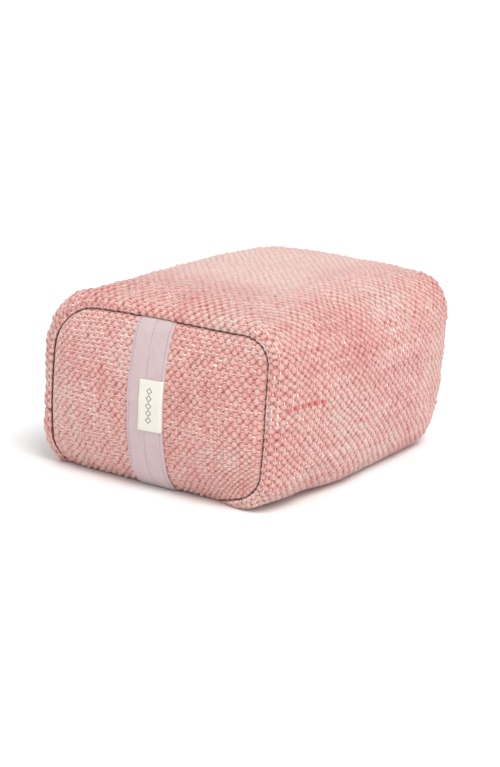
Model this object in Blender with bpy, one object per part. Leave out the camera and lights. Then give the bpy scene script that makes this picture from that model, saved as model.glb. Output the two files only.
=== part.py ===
"""A soft yoga brick: a woven cotton cover with a zip and a sewn strap handle, round a lined foam core.

Metres, +Z up. The origin is at the bottom centre of the brick's box. The length runs along Y,
the end with the handle faces -Y, and the zip is low on the -X side.
"""

import math

import bmesh
import bpy
from mathutils import Vector

# Overall sizes of the filled cover
WIDTH = 0.152
LENGTH = 0.212  # from one end seam to the other, without the bulge of the ends
HEIGHT = 0.106
TOP_CORNER = 0.029  # radius of the two long top edges
BOTTOM_CORNER = 0.018  # radius of the two long bottom edges

# How far the filling pushes the cloth out
SIDE_BULGE = 0.004
TOP_CROWN = 0.003
END_BULGE = 0.0085
END_ROLL = 0.007  # radius of the cloth where it turns over an end seam

# Layers, from outside in
CLOTH = 0.0015
CALICO = 0.0005
WADDING = 0.006
GAP = 0.0003  # between pieces that touch
LINER_INSET = 0.0030  # leaves room for the zip tape between cover and liner

# Handle and label
STRAP_WIDTH = 0.0250
STRAP_THICKNESS = 0.0016
STRAP_TAB = 0.006  # length of strap that stays sewn down at each end
THREAD = 0.0005  # diameter
STRAP_STITCH_INSET = 0.0014
LABEL_WIDTH = 0.0145
LABEL_HEIGHT = 0.0275
LABEL_THICKNESS = 0.0005
LABEL_DROP = 0.004  # below the middle of the strap
LABEL_STITCH_INSET = 0.0012

# Zip
ZIP_LENGTH = 0.150
ZIP_RISE = 0.002  # height of the lower tape above the rounded bottom edge
ZIP_SLOT = 0.010  # opening between the two edges of the cover
SEAM_SLOT = 0.0006  # the same beyond the zip, where the edges are sewn together
ZIP_FLARE = 0.004  # length over which the slot closes at each end
TAPE_WIDTH = 0.0120
TAPE_THICKNESS = 0.0006
TAPE_OVERRUN = 0.005
COIL_WIDTH = 0.0024
COIL_THICKNESS = 0.0015
ZIP_STITCH_OFFSET = 0.0025  # from the edge of the cover
SLIDER_LENGTH = 0.0110
SLIDER_WIDTH = 0.0084
SLIDER_PLATE = 0.0012
SLIDER_FLANGE = 0.0010
BRIDGE_LENGTH = 0.0080
BRIDGE_WIDTH = 0.0014
BRIDGE_BAR = 0.0009
PULL_BAR = 0.0010  # thickness of the pull tab and of the bar it turns on
PULL_LENGTH = 0.0240
PULL_WIDTH = 0.0056
PULL_ARM = 0.0012
PULL_TAPER = 0.7  # width at the free end as a share of the full width
STOP_LENGTH = 0.0016
STOP_THICKNESS = 0.0018
SLIDER_CLEARANCE = 0.0010  # between the slider and the stop, zip closed

# Sampling of the soft shapes
ARC_STEPS = 5
SIDE_STEPS = 6
TOP_STEPS = 8
BOTTOM_STEPS = 2
HEM_STEPS = 3  # between the bottom corner and the zip
ROLL_STEPS = 3
BODY_STEPS = 4
PANEL_COLUMNS = 10
TUBE_SIDES = 6

HALF_WIDTH = WIDTH / 2 - SIDE_BULGE
FLAT_HEIGHT = HEIGHT - TOP_CROWN
HALF_LENGTH = LENGTH / 2
ZIP_HEIGHT = BOTTOM_CORNER + ZIP_RISE + TAPE_WIDTH + GAP
ZIP_END = ZIP_LENGTH / 2
PANEL_INSET = END_ROLL + GAP


def material(name, red, green, blue, roughness, metallic=0.0):
    made = bpy.data.materials.new(name)
    made.use_nodes = True
    shader = made.node_tree.nodes["Principled BSDF"]
    shader.inputs["Base Color"].default_value = (red, green, blue, 1.0)
    shader.inputs["Roughness"].default_value = roughness
    shader.inputs["Metallic"].default_value = metallic
    made.diffuse_color = (red, green, blue, 1.0)
    return made


def clear_scene():
    for old in list(bpy.data.objects):
        bpy.data.objects.remove(old, do_unlink=True)


def smoothstep(low, high, value):
    share = min(max((value - low) / (high - low), 0.0), 1.0)
    return share * share * (3 - 2 * share)


def fullness(y):
    """1 along the middle, where the filling pushes fully, down to 0 at the end seams."""
    start = ZIP_END + ZIP_FLARE
    return 1.0 - smoothstep(start, max(HALF_LENGTH, start + END_ROLL), abs(y))


def puffed(x, y, z):
    """A point of the plain rounded box, moved to where the filling pushes it."""
    across = min(max(x / HALF_WIDTH, -1.0), 1.0)
    up = min(max(2 * z / FLAT_HEIGHT - 1, -1.0), 1.0)
    full = fullness(y)
    out = SIDE_BULGE * full * (1 - up * up) * across ** 3
    rise = TOP_CROWN * full * (1 - across * across) * max(up, 0.0) ** 3
    return Vector((x + out, y, z + rise))


def add_object(name, mesh_builder, slot, parent, smooth=True):
    """Makes an object from a bmesh, with its faces pointing out."""
    bmesh.ops.recalc_face_normals(mesh_builder, faces=mesh_builder.faces)
    mesh = bpy.data.meshes.new(name)
    mesh_builder.to_mesh(mesh)
    mesh_builder.free()
    mesh.materials.append(slot)
    if smooth:
        mesh.shade_smooth()
        mesh.set_sharp_from_angle(angle=math.radians(40))
    made = bpy.data.objects.new(name, mesh)
    bpy.context.scene.collection.objects.link(made)
    made.parent = parent
    return made


def slab(name, front, back, slot, parent):
    """A closed sheet between two grids of points of the same size."""
    builder = bmesh.new()
    rows = len(front)
    columns = len(front[0])
    near = [[builder.verts.new(point) for point in row] for row in front]
    far = [[builder.verts.new(point) for point in row] for row in back]
    for i in range(rows - 1):
        for j in range(columns - 1):
            builder.faces.new((near[i][j], near[i][j + 1], near[i + 1][j + 1], near[i + 1][j]))
            builder.faces.new((far[i][j], far[i + 1][j], far[i + 1][j + 1], far[i][j + 1]))
    for i in range(rows - 1):
        for j in (0, columns - 1):
            builder.faces.new((near[i][j], near[i + 1][j], far[i + 1][j], far[i][j]))
    for j in range(columns - 1):
        for i in (0, rows - 1):
            builder.faces.new((near[i][j], far[i][j], far[i][j + 1], near[i][j + 1]))
    return add_object(name, builder, slot, parent)


def tube(name, path, diameter, slot, parent, closed=False):
    """A round thread along a path, given with the direction that is outward at each point."""
    builder = bmesh.new()
    count = len(path)
    rings = []
    for i, (point, outward) in enumerate(path):
        before = path[i - 1][0] if closed or i else point
        after = path[(i + 1) % count][0] if closed or i < count - 1 else point
        along = (after - before).normalized()
        side = along.cross(outward).normalized()
        normal = side.cross(along)
        ring = []
        for k in range(TUBE_SIDES):
            turn = 2 * math.pi * k / TUBE_SIDES
            offset = side * math.cos(turn) + normal * math.sin(turn)
            ring.append(builder.verts.new(point + offset * diameter / 2))
        rings.append(ring)
    for i in range(count if closed else count - 1):
        one = rings[i]
        two = rings[(i + 1) % count]
        for k in range(TUBE_SIDES):
            following = (k + 1) % TUBE_SIDES
            builder.faces.new((one[k], one[following], two[following], two[k]))
    if not closed:
        builder.faces.new(rings[0])
        builder.faces.new(rings[-1])
    return add_object(name, builder, slot, parent)


def spread(start, end, steps):
    return [start + (end - start) * i / steps for i in range(steps + 1)]


def half_width_at(z, inset):
    """Half the width of the plain rounded box at a height, that far inside its surface."""
    low = inset
    high = FLAT_HEIGHT - inset
    for corner, edge, inward in ((BOTTOM_CORNER, low, 1), (TOP_CORNER, high, -1)):
        radius = max(corner - inset, GAP)
        depth = radius - inward * (z - edge)
        if depth > 0:
            return HALF_WIDTH - inset - radius + math.sqrt(max(radius ** 2 - depth ** 2, 0.0))
    return HALF_WIDTH - inset


def corner_arc(x, z, radius, start):
    """A quarter turn about (x, z), clockwise seen from the front, from the angle start."""
    points = []
    for i in range(ARC_STEPS + 1):
        turn = start + math.pi / 2 * i / ARC_STEPS
        points.append((x + radius * math.cos(turn), z + radius * math.sin(turn)))
    return points


def strip_outline(inset, slot):
    """The strip's section, from the lower edge of the slot, under the box and back to the upper edge."""
    top = max(TOP_CORNER - inset, GAP)
    bottom = max(BOTTOM_CORNER - inset, GAP)
    side = HALF_WIDTH - inset
    low = inset
    high = FLAT_HEIGHT - inset
    points = [(-side, z) for z in spread(ZIP_HEIGHT - slot / 2, low + bottom, HEM_STEPS)[:-1]]
    points += corner_arc(-side + bottom, low + bottom, bottom, math.pi)
    points += [(x, low) for x in spread(-side + bottom, side - bottom, BOTTOM_STEPS)[1:-1]]
    points += corner_arc(side - bottom, low + bottom, bottom, 1.5 * math.pi)
    points += [(side, z) for z in spread(low + bottom, high - top, SIDE_STEPS)[1:-1]]
    points += corner_arc(side - top, high - top, top, 0.0)
    points += [(x, high) for x in spread(side - top, -side + top, TOP_STEPS)[1:-1]]
    points += corner_arc(-side + top, high - top, top, 0.5 * math.pi)
    points += [(-side, z) for z in spread(high - top, ZIP_HEIGHT + slot / 2, SIDE_STEPS)[1:]]
    return points


def slot_at(y, width):
    return SEAM_SLOT if abs(y) > ZIP_END + ZIP_FLARE else width


def strip_stations(roll, reach, inset, thickness):
    """(y, outer inset, inner y, inner inset) along a strip whose two ends turn in by roll."""
    front = []
    for i in range(ROLL_STEPS + 1 if roll else 1):
        turn = math.pi / 2 * (1 - i / ROLL_STEPS) if roll else 0.0
        outer = roll * math.sin(turn)
        inner = max(roll - thickness, 0.0)
        front.append((
            reach - roll + outer,
            inset + roll - roll * math.cos(turn),
            reach - roll + inner * math.sin(turn),
            inset + max(roll, thickness) - inner * math.cos(turn),
        ))
    body = spread(-ZIP_END, ZIP_END, BODY_STEPS)
    flares = [ZIP_END + ZIP_FLARE, ZIP_END + ZIP_FLARE + GAP]
    middle = sorted(body + flares + [-y for y in flares])
    stations = [(-a, b, -c, d) for a, b, c, d in front]
    stations += [(y, inset, y, inset + thickness) for y in middle if abs(y) < reach - roll - GAP]
    return stations + front[::-1]


def strip(name, slot_material, parent, inset, thickness, roll, reach, slot_width):
    """A sheet that goes once round the box, with its two long edges facing each other at the zip."""
    outer = []
    inner = []
    for y, outer_inset, inner_y, inner_inset in strip_stations(roll, reach, inset, thickness):
        gap = slot_at(y, slot_width)
        outer.append([puffed(x, y, z) for x, z in strip_outline(outer_inset, gap)])
        inner.append([puffed(x, inner_y, z) for x, z in strip_outline(inner_inset, gap)])
    return slab(name, outer, inner, slot_material, parent)


def end_bulge(x, z, inset, bulge):
    """How far an end stands out at (x, z), 0 along its outline."""
    across = min(abs(x) / (HALF_WIDTH - inset), 1.0)
    up = min(abs(2 * z / FLAT_HEIGHT - 1) * FLAT_HEIGHT / (FLAT_HEIGHT - 2 * inset), 1.0)
    return bulge * (1 - across ** 4) * (1 - up ** 2)


def panel_heights(inset):
    low = inset
    high = FLAT_HEIGHT - inset
    bottom = max(BOTTOM_CORNER - inset, GAP)
    top = max(TOP_CORNER - inset, GAP)
    heights = [low + bottom * (1 - math.cos(math.pi / 2 * i / ARC_STEPS)) for i in range(ARC_STEPS)]
    heights += spread(low + bottom, high - top, SIDE_STEPS)
    rise = [high - top + top * math.sin(math.pi / 2 * i / ARC_STEPS) for i in range(ARC_STEPS + 1)]
    return heights + rise[1:]


def end_panel(name, slot, parent, facing, inset, thickness, reach, bulge):
    """A crowned sheet that closes one end, facing -1 for the front and 1 for the rear."""
    outer = []
    inner = []
    for z in panel_heights(inset):
        half = half_width_at(z, inset)
        outer_row = []
        inner_row = []
        for x in spread(-half, half, PANEL_COLUMNS):
            y = reach + end_bulge(x, z, inset, bulge)
            outer_row.append(Vector((x, facing * y, z)))
            inner_row.append(Vector((x, facing * (y - thickness), z)))
        outer.append(outer_row)
        inner.append(inner_row)
    return slab(name, outer, inner, slot, parent)


def core_block(name, slot, parent, inset, reach):
    """The foam block, with its long edges rounded like the cover's."""
    outline = strip_outline(inset, SEAM_SLOT)
    builder = bmesh.new()
    ends = []
    for y in (-reach, reach):
        ends.append([builder.verts.new((x, y, z)) for x, z in outline])
    count = len(outline)
    for i in range(count):
        following = (i + 1) % count
        builder.faces.new((ends[0][i], ends[0][following], ends[1][following], ends[1][i]))
    builder.faces.new(ends[0])
    builder.faces.new(ends[1])
    bmesh.ops.triangulate(builder, faces=builder.faces)
    return add_object(name, builder, slot, parent)


def ring_path(inset, y):
    """A closed path round an end, that far inside the cover's surface."""
    centre = Vector((0, 0, FLAT_HEIGHT / 2))
    path = []
    for x, z in strip_outline(inset, SEAM_SLOT):
        point = Vector((x, 0, z))
        path.append((point + Vector((0, y, 0)), (point - centre).normalized()))
    return path


def strap_front(z, lift):
    """The strap's path: lift above the end panel's middle line at the height z."""
    return -(HALF_LENGTH + end_bulge(0, z, PANEL_INSET, END_BULGE) + lift)


def strap_piece(name, low, high, slot, parent, steps):
    front = []
    back = []
    for z in spread(low, high, steps):
        front.append([])
        back.append([])
        for x in (-STRAP_WIDTH / 2, STRAP_WIDTH / 2):
            front[-1].append(Vector((x, strap_front(z, GAP + STRAP_THICKNESS), z)))
            back[-1].append(Vector((x, strap_front(z, GAP), z)))
    return slab(name, front, back, slot, parent)


def strap_stitch(name, x, low, high, slot, parent):
    lift = GAP + STRAP_THICKNESS + GAP / 2 + THREAD / 2
    path = [(Vector((x, strap_front(z, lift), z)), Vector((0, -1, 0))) for z in spread(low, high, 14)]
    return tube(name, path, THREAD, slot, parent)


def label_lift():
    """How far the label's back stands off the end panel: over the strap and its rows of thread."""
    return GAP + STRAP_THICKNESS + GAP / 2 + THREAD + GAP


def label_piece(name, middle, slot, parent):
    """The folded label: a leaf on the strap's face and a lip down its right edge."""
    lift = label_lift()
    right = STRAP_WIDTH / 2 + GAP + LABEL_THICKNESS
    columns = [(right - LABEL_WIDTH, lift + LABEL_THICKNESS, right - LABEL_WIDTH, lift)]
    columns.append((right, lift + LABEL_THICKNESS, right - LABEL_THICKNESS, lift))
    columns.append((right, GAP, right - LABEL_THICKNESS, GAP))
    front = []
    back = []
    for z in spread(middle - LABEL_HEIGHT / 2, middle + LABEL_HEIGHT / 2, 4):
        front.append([Vector((a, strap_front(z, b), z)) for a, b, c, d in columns])
        back.append([Vector((c, strap_front(z, d), z)) for a, b, c, d in columns])
    return slab(name, front, back, slot, parent)


def label_stitch(name, middle, slot, parent):
    """A row of thread down the label's open edge."""
    x = STRAP_WIDTH / 2 + GAP + LABEL_THICKNESS - LABEL_WIDTH + LABEL_STITCH_INSET
    reach = LABEL_HEIGHT / 2 - LABEL_STITCH_INSET
    lift = label_lift() + LABEL_THICKNESS + GAP / 2 + THREAD / 2
    heights = spread(middle - reach, middle + reach, 6)
    path = [(Vector((x, strap_front(z, lift), z)), Vector((0, -1, 0))) for z in heights]
    return tube(name, path, THREAD, slot, parent)


def build_handle(parts, root):
    """The strap with its stitching and label. Its middle lifts off the end along -Y."""
    low = PANEL_INSET + GAP
    high = FLAT_HEIGHT - PANEL_INSET - GAP
    handle = add_pivot("handle_pivot", Vector((0, -HALF_LENGTH, (low + high) / 2)), root)
    strap = parts["strap"]
    strap_piece("strap_tab_bottom", low, low + STRAP_TAB, strap, root, 3)
    strap_piece("strap_tab_top", high - STRAP_TAB, high, strap, root, 3)
    start = low + STRAP_TAB + GAP
    end = high - STRAP_TAB - GAP
    moving = [strap_piece("handle_strap", start, end, strap, root, 14)]
    edge = STRAP_WIDTH / 2 - STRAP_STITCH_INSET
    for side, x in (("left", -edge), ("middle", 0.0), ("right", edge)):
        moving.append(strap_stitch("strap_stitch_" + side, x, start, end, parts["strap_thread"], root))
    middle = (low + high) / 2 - LABEL_DROP
    moving.append(label_piece("label", middle, parts["label"], root))
    moving.append(label_stitch("label_stitch", middle, parts["label_thread"], root))
    for piece in moving:
        hang_on(piece, handle)


def add_pivot(name, location, parent, turn=0.0):
    """An empty at a joint, turned about Y."""
    pivot = bpy.data.objects.new(name, None)
    pivot.empty_display_size = 0.01
    bpy.context.scene.collection.objects.link(pivot)
    pivot.parent = parent
    pivot.location = location
    pivot.rotation_euler = (0.0, turn, 0.0)
    return pivot


def hang_on(piece, pivot):
    """Parents a piece that is modelled in the root's frame to a joint's empty, where it is."""
    piece.data.transform(pivot.matrix_basis.inverted())
    piece.parent = pivot


def zip_point(out, y, rise):
    """A point by the zip: out from the cover's surface, along it, and above the zip's middle."""
    point = puffed(-HALF_WIDTH - out, 0.0, ZIP_HEIGHT + rise)
    return Vector((point.x, y, point.z))


def zip_tilt():
    """The angle that the cover's side leans at the zip, about Y."""
    low = zip_point(0, 0, -ZIP_SLOT / 2)
    high = zip_point(0, 0, ZIP_SLOT / 2)
    return math.atan2(high.x - low.x, high.z - low.z)


def zip_band(name, rises, outs, ends, slot, parent):
    """A flat bar along the zip, between two heights and two distances out of the surface."""
    front = []
    back = []
    for y in ends:
        front.append([zip_point(outs[1], y, rise) for rise in rises])
        back.append([zip_point(outs[0], y, rise) for rise in rises])
    return slab(name, front, back, slot, parent)


def prism(name, outline, axis, low, high, slot, parent, cutter=False):
    """An outline in the two other axes, in their X, Y, Z order, extruded along one axis."""
    builder = bmesh.new()
    ends = []
    for level in (low, high):
        ring = []
        for point in outline:
            place = list(point)
            place.insert(axis, level)
            ring.append(builder.verts.new(place))
        ends.append(ring)
    count = len(outline)
    for i in range(count):
        following = (i + 1) % count
        builder.faces.new((ends[0][i], ends[0][following], ends[1][following], ends[1][i]))
    builder.faces.new(ends[0])
    builder.faces.new(ends[1])
    made = add_object(name, builder, slot, parent, smooth=False)
    if cutter:
        made.hide_render = True
        made.display_type = "WIRE"
    return made


def combine(piece, other, operation):
    change = piece.modifiers.new(operation.lower(), "BOOLEAN")
    change.operation = operation
    change.object = other


def build_slider(parts, root):
    """The slider and its pull tab, modelled upright in their own frames and tilted with the cloth.

    In these frames -X points out of the cloth, Y runs along the zip and Z across it.
    """
    metal = parts["zip_metal"]
    rest = ZIP_END - STOP_LENGTH - SLIDER_CLEARANCE - SLIDER_LENGTH / 2
    slider = add_pivot("slider_pivot", zip_point(0, rest, 0), root, zip_tilt())
    half = SLIDER_WIDTH / 2
    inside = half - SLIDER_FLANGE
    plate = -GAP
    face = plate - SLIDER_PLATE
    channel = [(face, -half), (CLOTH, -half), (CLOTH, -inside), (plate, -inside)]
    channel += [(x, -z) for x, z in reversed(channel)]
    reach = SLIDER_LENGTH / 2
    body = prism("zip_slider", channel, 1, -reach, reach, metal, slider)
    under = face - PULL_BAR - 2 * GAP
    crown = under - BRIDGE_BAR
    foot = face + SLIDER_PLATE / 2
    end = BRIDGE_LENGTH / 2
    post = end - BRIDGE_BAR
    arch = [(foot, -end), (crown, -end), (crown, end), (foot, end)]
    arch += [(foot, post), (under, post), (under, -post), (foot, -post)]
    wide = BRIDGE_WIDTH / 2
    bridge = prism("zip_slider_bridge", arch, 2, -wide, wide, metal, slider, cutter=True)
    combine(body, bridge, "UNION")
    build_pull(metal, slider, face)


def build_pull(metal, slider, face):
    """The pull tab: a bar under the slider's bridge, two arms past its post, and a tapered blade."""
    thick = PULL_BAR / 2
    pull = add_pivot("pull_pivot", Vector((face - GAP - thick, 0, 0)), slider)
    arm_low = BRIDGE_WIDTH / 2 + GAP
    arm_high = arm_low + PULL_ARM
    start = math.hypot(BRIDGE_LENGTH / 2, thick + GAP + BRIDGE_BAR) + GAP  # clears the bridge as it swings
    half = PULL_WIDTH / 2
    tip = half * PULL_TAPER
    corner = tip / 2
    outline = [(thick, -arm_high), (-start, -arm_high), (-start - PULL_ARM, -half)]
    outline += [(-PULL_LENGTH + corner, -tip), (-PULL_LENGTH, -tip + corner)]
    outline += [(y, -z) for y, z in reversed(outline)]
    tab = prism("zip_pull", outline, 0, -thick, thick, metal, pull)
    eye = [(-thick, -arm_low), (-start, -arm_low), (-start, arm_low), (-thick, arm_low)]
    window = prism("zip_pull_window", eye, 0, -2 * thick, 2 * thick, metal, pull, cutter=True)
    combine(tab, window, "DIFFERENCE")


def build_zip(parts, root):
    """Two tapes with their coils, the stops, the sewing threads and the slider."""
    tape_out = -(CLOTH + GAP)
    ends = (-ZIP_END - TAPE_OVERRUN, ZIP_END + TAPE_OVERRUN)
    tape_ends = [max(ends[0], -HALF_LENGTH + END_ROLL + GAP), min(ends[1], HALF_LENGTH - END_ROLL - GAP)]
    coil_reach = ZIP_END - STOP_LENGTH - GAP
    for side, sign in (("upper", 1), ("lower", -1)):
        edges = sorted((sign * GAP, sign * (GAP + TAPE_WIDTH)))
        levels = spread(edges[0], edges[1], 4)
        outs = (tape_out - TAPE_THICKNESS, tape_out)
        band = spread(tape_ends[0], tape_ends[1], 8)
        zip_band("zip_tape_" + side, levels, outs, band, parts["zip_tape"], root)
        edges = sorted((sign * GAP / 2, sign * (GAP / 2 + COIL_WIDTH)))
        outs = (tape_out + GAP, tape_out + GAP + COIL_THICKNESS - GAP)
        zip_band("zip_coil_" + side, edges, outs, (-coil_reach, coil_reach), parts["zip_coil"], root)
        rise = sign * (ZIP_SLOT / 2 + ZIP_STITCH_OFFSET)
        path = []
        for y in spread(-ZIP_END, ZIP_END, 12):
            path.append((zip_point(GAP / 2 + THREAD / 2, y, rise), Vector((-1, 0, 0))))
        tube("zip_stitch_" + side, path, THREAD, parts["cover_thread"], root)
    for end, sign in (("top", 1), ("bottom", -1)):
        far = sign * ZIP_END
        near = sign * (ZIP_END - STOP_LENGTH)
        half = COIL_WIDTH + GAP
        outs = (tape_out + GAP, tape_out + GAP + STOP_THICKNESS)
        zip_band("zip_" + end + "_stop", (-half, half), outs, sorted((near, far)), parts["zip_metal"], root)
    build_slider(parts, root)


def build_cover(parts, root):
    cotton = parts["cover_cotton"]
    strip("wrap_panel", cotton, root, 0.0, CLOTH, END_ROLL, HALF_LENGTH, ZIP_SLOT)
    for name, facing in (("front", -1), ("rear", 1)):
        end_panel(name + "_end_panel", cotton, root, facing, PANEL_INSET, CLOTH, HALF_LENGTH, END_BULGE)
        depth = HALF_LENGTH - CLOTH - GAP - THREAD
        path = ring_path(PANEL_INSET + 2 * THREAD, facing * depth)
        tube(name + "_seam_thread", path, THREAD, parts["cover_thread"], root, closed=True)


def build_filling(parts, root):
    """The calico liner, the wadding and the foam core, each held off the one outside it."""
    liner_reach = HALF_LENGTH - END_ROLL - GAP
    calico = parts["calico"]
    strip("liner_wrap", calico, root, LINER_INSET, CALICO, 0.0, liner_reach, SEAM_SLOT)
    pad_inset = LINER_INSET + CALICO + GAP
    fleece = parts["wadding"]
    strip("wadding_wrap", fleece, root, pad_inset, WADDING, 0.0, liner_reach, SEAM_SLOT)
    core_inset = pad_inset + WADDING + GAP
    core_reach = liner_reach - WADDING - GAP
    core_block("foam_core", parts["foam"], root, core_inset, core_reach)
    for name, facing in (("front", -1), ("rear", 1)):
        pad_reach = core_reach + GAP + WADDING
        end_panel("wadding_" + name, fleece, root, facing, core_inset, WADDING, pad_reach, 0.0)
        cap_reach = liner_reach + GAP + CALICO
        end_panel("liner_" + name, calico, root, facing, LINER_INSET, CALICO, cap_reach, 0.0)


def bounds(pieces):
    low = Vector((math.inf,) * 3)
    high = Vector((-math.inf,) * 3)
    for piece in pieces:
        for vertex in piece.data.vertices:
            point = piece.matrix_world @ vertex.co
            for axis in range(3):
                low[axis] = min(low[axis], point[axis])
                high[axis] = max(high[axis], point[axis])
    return low, high


def centre_on_origin(root):
    """Moves the whole brick so that the origin is at the bottom centre of its box."""
    bpy.context.view_layer.update()
    pieces = [piece for piece in bpy.data.objects if piece.type == "MESH" and not piece.hide_render]
    low, high = bounds(pieces)
    root.location = Vector((-(low.x + high.x) / 2, -(low.y + high.y) / 2, -low.z))
    bpy.context.view_layer.update()


def print_joints():
    """Prints where each joint's empty stands, and the direction of its Z axis."""
    for pivot in bpy.data.objects:
        if pivot.type == "EMPTY":
            place = [round(value, 6) for value in pivot.matrix_world.translation]
            direction = [round(value, 6) for value in pivot.matrix_world.col[2][:3]]
            print(pivot.name, place, direction)


def main():
    clear_scene()
    parts = {
        "cover_cotton": material("rose_cotton_weave", 0.62, 0.33, 0.29, 0.95),
        "cover_thread": material("dark_rose_sewing_thread", 0.42, 0.22, 0.21, 0.8),
        "strap": material("lilac_twill_strap", 0.60, 0.47, 0.48, 0.9),
        "strap_thread": material("mauve_sewing_thread", 0.45, 0.36, 0.50, 0.8),
        "label": material("cream_woven_label", 0.80, 0.76, 0.68, 0.85),
        "label_thread": material("cream_sewing_thread", 0.78, 0.74, 0.66, 0.8),
        "zip_tape": material("rose_zip_tape", 0.55, 0.30, 0.29, 0.9),
        "zip_coil": material("rose_nylon_coil", 0.50, 0.27, 0.27, 0.4),
        "zip_metal": material("nickel_plated_zinc", 0.60, 0.58, 0.55, 0.3, 1.0),
        "calico": material("unbleached_calico", 0.75, 0.70, 0.60, 0.95),
        "wadding": material("polyester_wadding", 0.86, 0.86, 0.84, 1.0),
        "foam": material("polyether_foam", 0.80, 0.75, 0.58, 1.0),
    }
    root = add_pivot("brick_root", Vector((0, 0, 0)), None)
    build_cover(parts, root)
    build_handle(parts, root)
    build_zip(parts, root)
    build_filling(parts, root)
    centre_on_origin(root)
    print_joints()


main()
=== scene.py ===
# %% [markdown]
# # A soft yoga brick in woven cotton
#
# This lesson dresses a yoga brick: a firm foam block in a thick, hand-woven cotton cover. The cover is
# three pieces of cloth. One long strip goes round the brick and meets itself at a zip, and two end
# panels close it. A flat strap is sewn down the middle of the front end as a handle, and a small
# label is folded over the strap's edge.
#
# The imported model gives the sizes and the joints. Everything here is placed from it, and the cover then
# bulges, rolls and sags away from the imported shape, by up to about 15 mm at its foot.

# %% Load the frame
import math

import bmesh
import bpy
import numpy as np
from mathutils import Matrix, Vector


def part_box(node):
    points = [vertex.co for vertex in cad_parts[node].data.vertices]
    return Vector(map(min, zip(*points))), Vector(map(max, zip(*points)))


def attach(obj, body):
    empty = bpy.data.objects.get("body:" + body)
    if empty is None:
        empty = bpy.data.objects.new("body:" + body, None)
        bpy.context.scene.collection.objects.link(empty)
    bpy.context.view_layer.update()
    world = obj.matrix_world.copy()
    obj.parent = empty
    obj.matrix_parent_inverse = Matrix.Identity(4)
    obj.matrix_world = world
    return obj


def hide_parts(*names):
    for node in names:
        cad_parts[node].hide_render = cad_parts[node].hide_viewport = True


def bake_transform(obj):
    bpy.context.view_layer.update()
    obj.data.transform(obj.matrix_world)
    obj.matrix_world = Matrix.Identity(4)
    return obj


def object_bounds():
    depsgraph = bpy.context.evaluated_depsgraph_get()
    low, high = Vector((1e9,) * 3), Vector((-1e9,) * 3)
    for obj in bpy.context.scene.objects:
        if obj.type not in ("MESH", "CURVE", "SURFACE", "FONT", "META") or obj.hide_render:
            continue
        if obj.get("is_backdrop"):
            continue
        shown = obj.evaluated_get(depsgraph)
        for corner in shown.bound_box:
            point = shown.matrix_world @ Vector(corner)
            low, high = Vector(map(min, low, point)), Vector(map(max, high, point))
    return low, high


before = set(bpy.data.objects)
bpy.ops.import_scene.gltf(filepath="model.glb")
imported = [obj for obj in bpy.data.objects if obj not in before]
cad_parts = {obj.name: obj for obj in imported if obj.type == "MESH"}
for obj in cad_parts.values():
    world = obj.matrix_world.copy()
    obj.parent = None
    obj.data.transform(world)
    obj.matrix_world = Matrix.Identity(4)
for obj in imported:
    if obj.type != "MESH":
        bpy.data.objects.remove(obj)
CAD_BOX = [list(corner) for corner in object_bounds()]
MM = 0.001
print("box in mm:", [[round(value / MM, 1) for value in corner] for corner in CAD_BOX])

# %% [markdown]
# ## Measuring the brick
#
# The wrap's box gives the centre, the length from seam to seam, the width and the height. The rest of
# the shape needs a few radii: a real cover is sewn from flat cloth, so its edges are only as sharp as
# the foam inside, and the cloth turns softly over the seam at each end.

# %% Sizes
WRAP_LOW, WRAP_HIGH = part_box("wrap_panel")
CENTRE_X = (WRAP_LOW.x + WRAP_HIGH.x) / 2
CENTRE_Y = (WRAP_LOW.y + WRAP_HIGH.y) / 2
PATTERN_BULGE = 4 * MM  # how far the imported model's sides bow
PATTERN_CROWN = 3 * MM
PATTERN_HALF_WIDTH = (WRAP_HIGH.x - WRAP_LOW.x) / 2 - PATTERN_BULGE
PATTERN_HALF_LENGTH = (WRAP_HIGH.y - WRAP_LOW.y) / 2
PATTERN_HEIGHT = WRAP_HIGH.z - PATTERN_CROWN

# Stuffing makes the cover rounder than its pattern: wider in the middle and shorter at the ends.
HALF_WIDTH = PATTERN_HALF_WIDTH + 3.3 * MM
HALF_LENGTH = PATTERN_HALF_LENGTH - 4.0 * MM
FLAT_HEIGHT = PATTERN_HEIGHT - 1.2 * MM
TOP_LEFT_CORNER = 31.5 * MM
TOP_RIGHT_CORNER = 21.5 * MM
BOTTOM_LEFT_CORNER = 21.0 * MM
BOTTOM_RIGHT_CORNER = 20.0 * MM
LEFT_BULGE = 6.8 * MM
RIGHT_BULGE = 5.3 * MM
TOP_CROWN = 2.7 * MM
END_ROLL = 6.3 * MM
TUCK = 1.2 * MM
TUCK_DEPTH = 1.5 * MM
SEAM_INSET = END_ROLL + TUCK
PANEL_INSET = SEAM_INSET + 0.15 * MM
END_BULGE = 8.3 * MM
PANEL_EDGE = 2.2 * MM
CLOTH = 1.5 * MM

ZIP_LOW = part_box("zip_coil_lower")[0]
ZIP_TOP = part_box("zip_coil_upper")[1]
ZIP_HEIGHT = (ZIP_LOW.z + ZIP_TOP.z) / 2
ZIP_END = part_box("zip_stitch_upper")[1].y - CENTRE_Y
ZIP_SLOT = 10 * MM
SEAM_SLOT = 0.6 * MM
ZIP_FLARE = 5 * MM
print("half width, half length, height in mm:",
      [round(value / MM, 1) for value in (HALF_WIDTH, HALF_LENGTH, FLAT_HEIGHT)])

# %% [markdown]
# ## The camera
#
# The camera looks from a little above one corner with a long lens, which keeps the far end from
# shrinking. It stands at an azimuth and an elevation round the brick, and rolls a few degrees, as a
# hand-held camera does.

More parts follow.
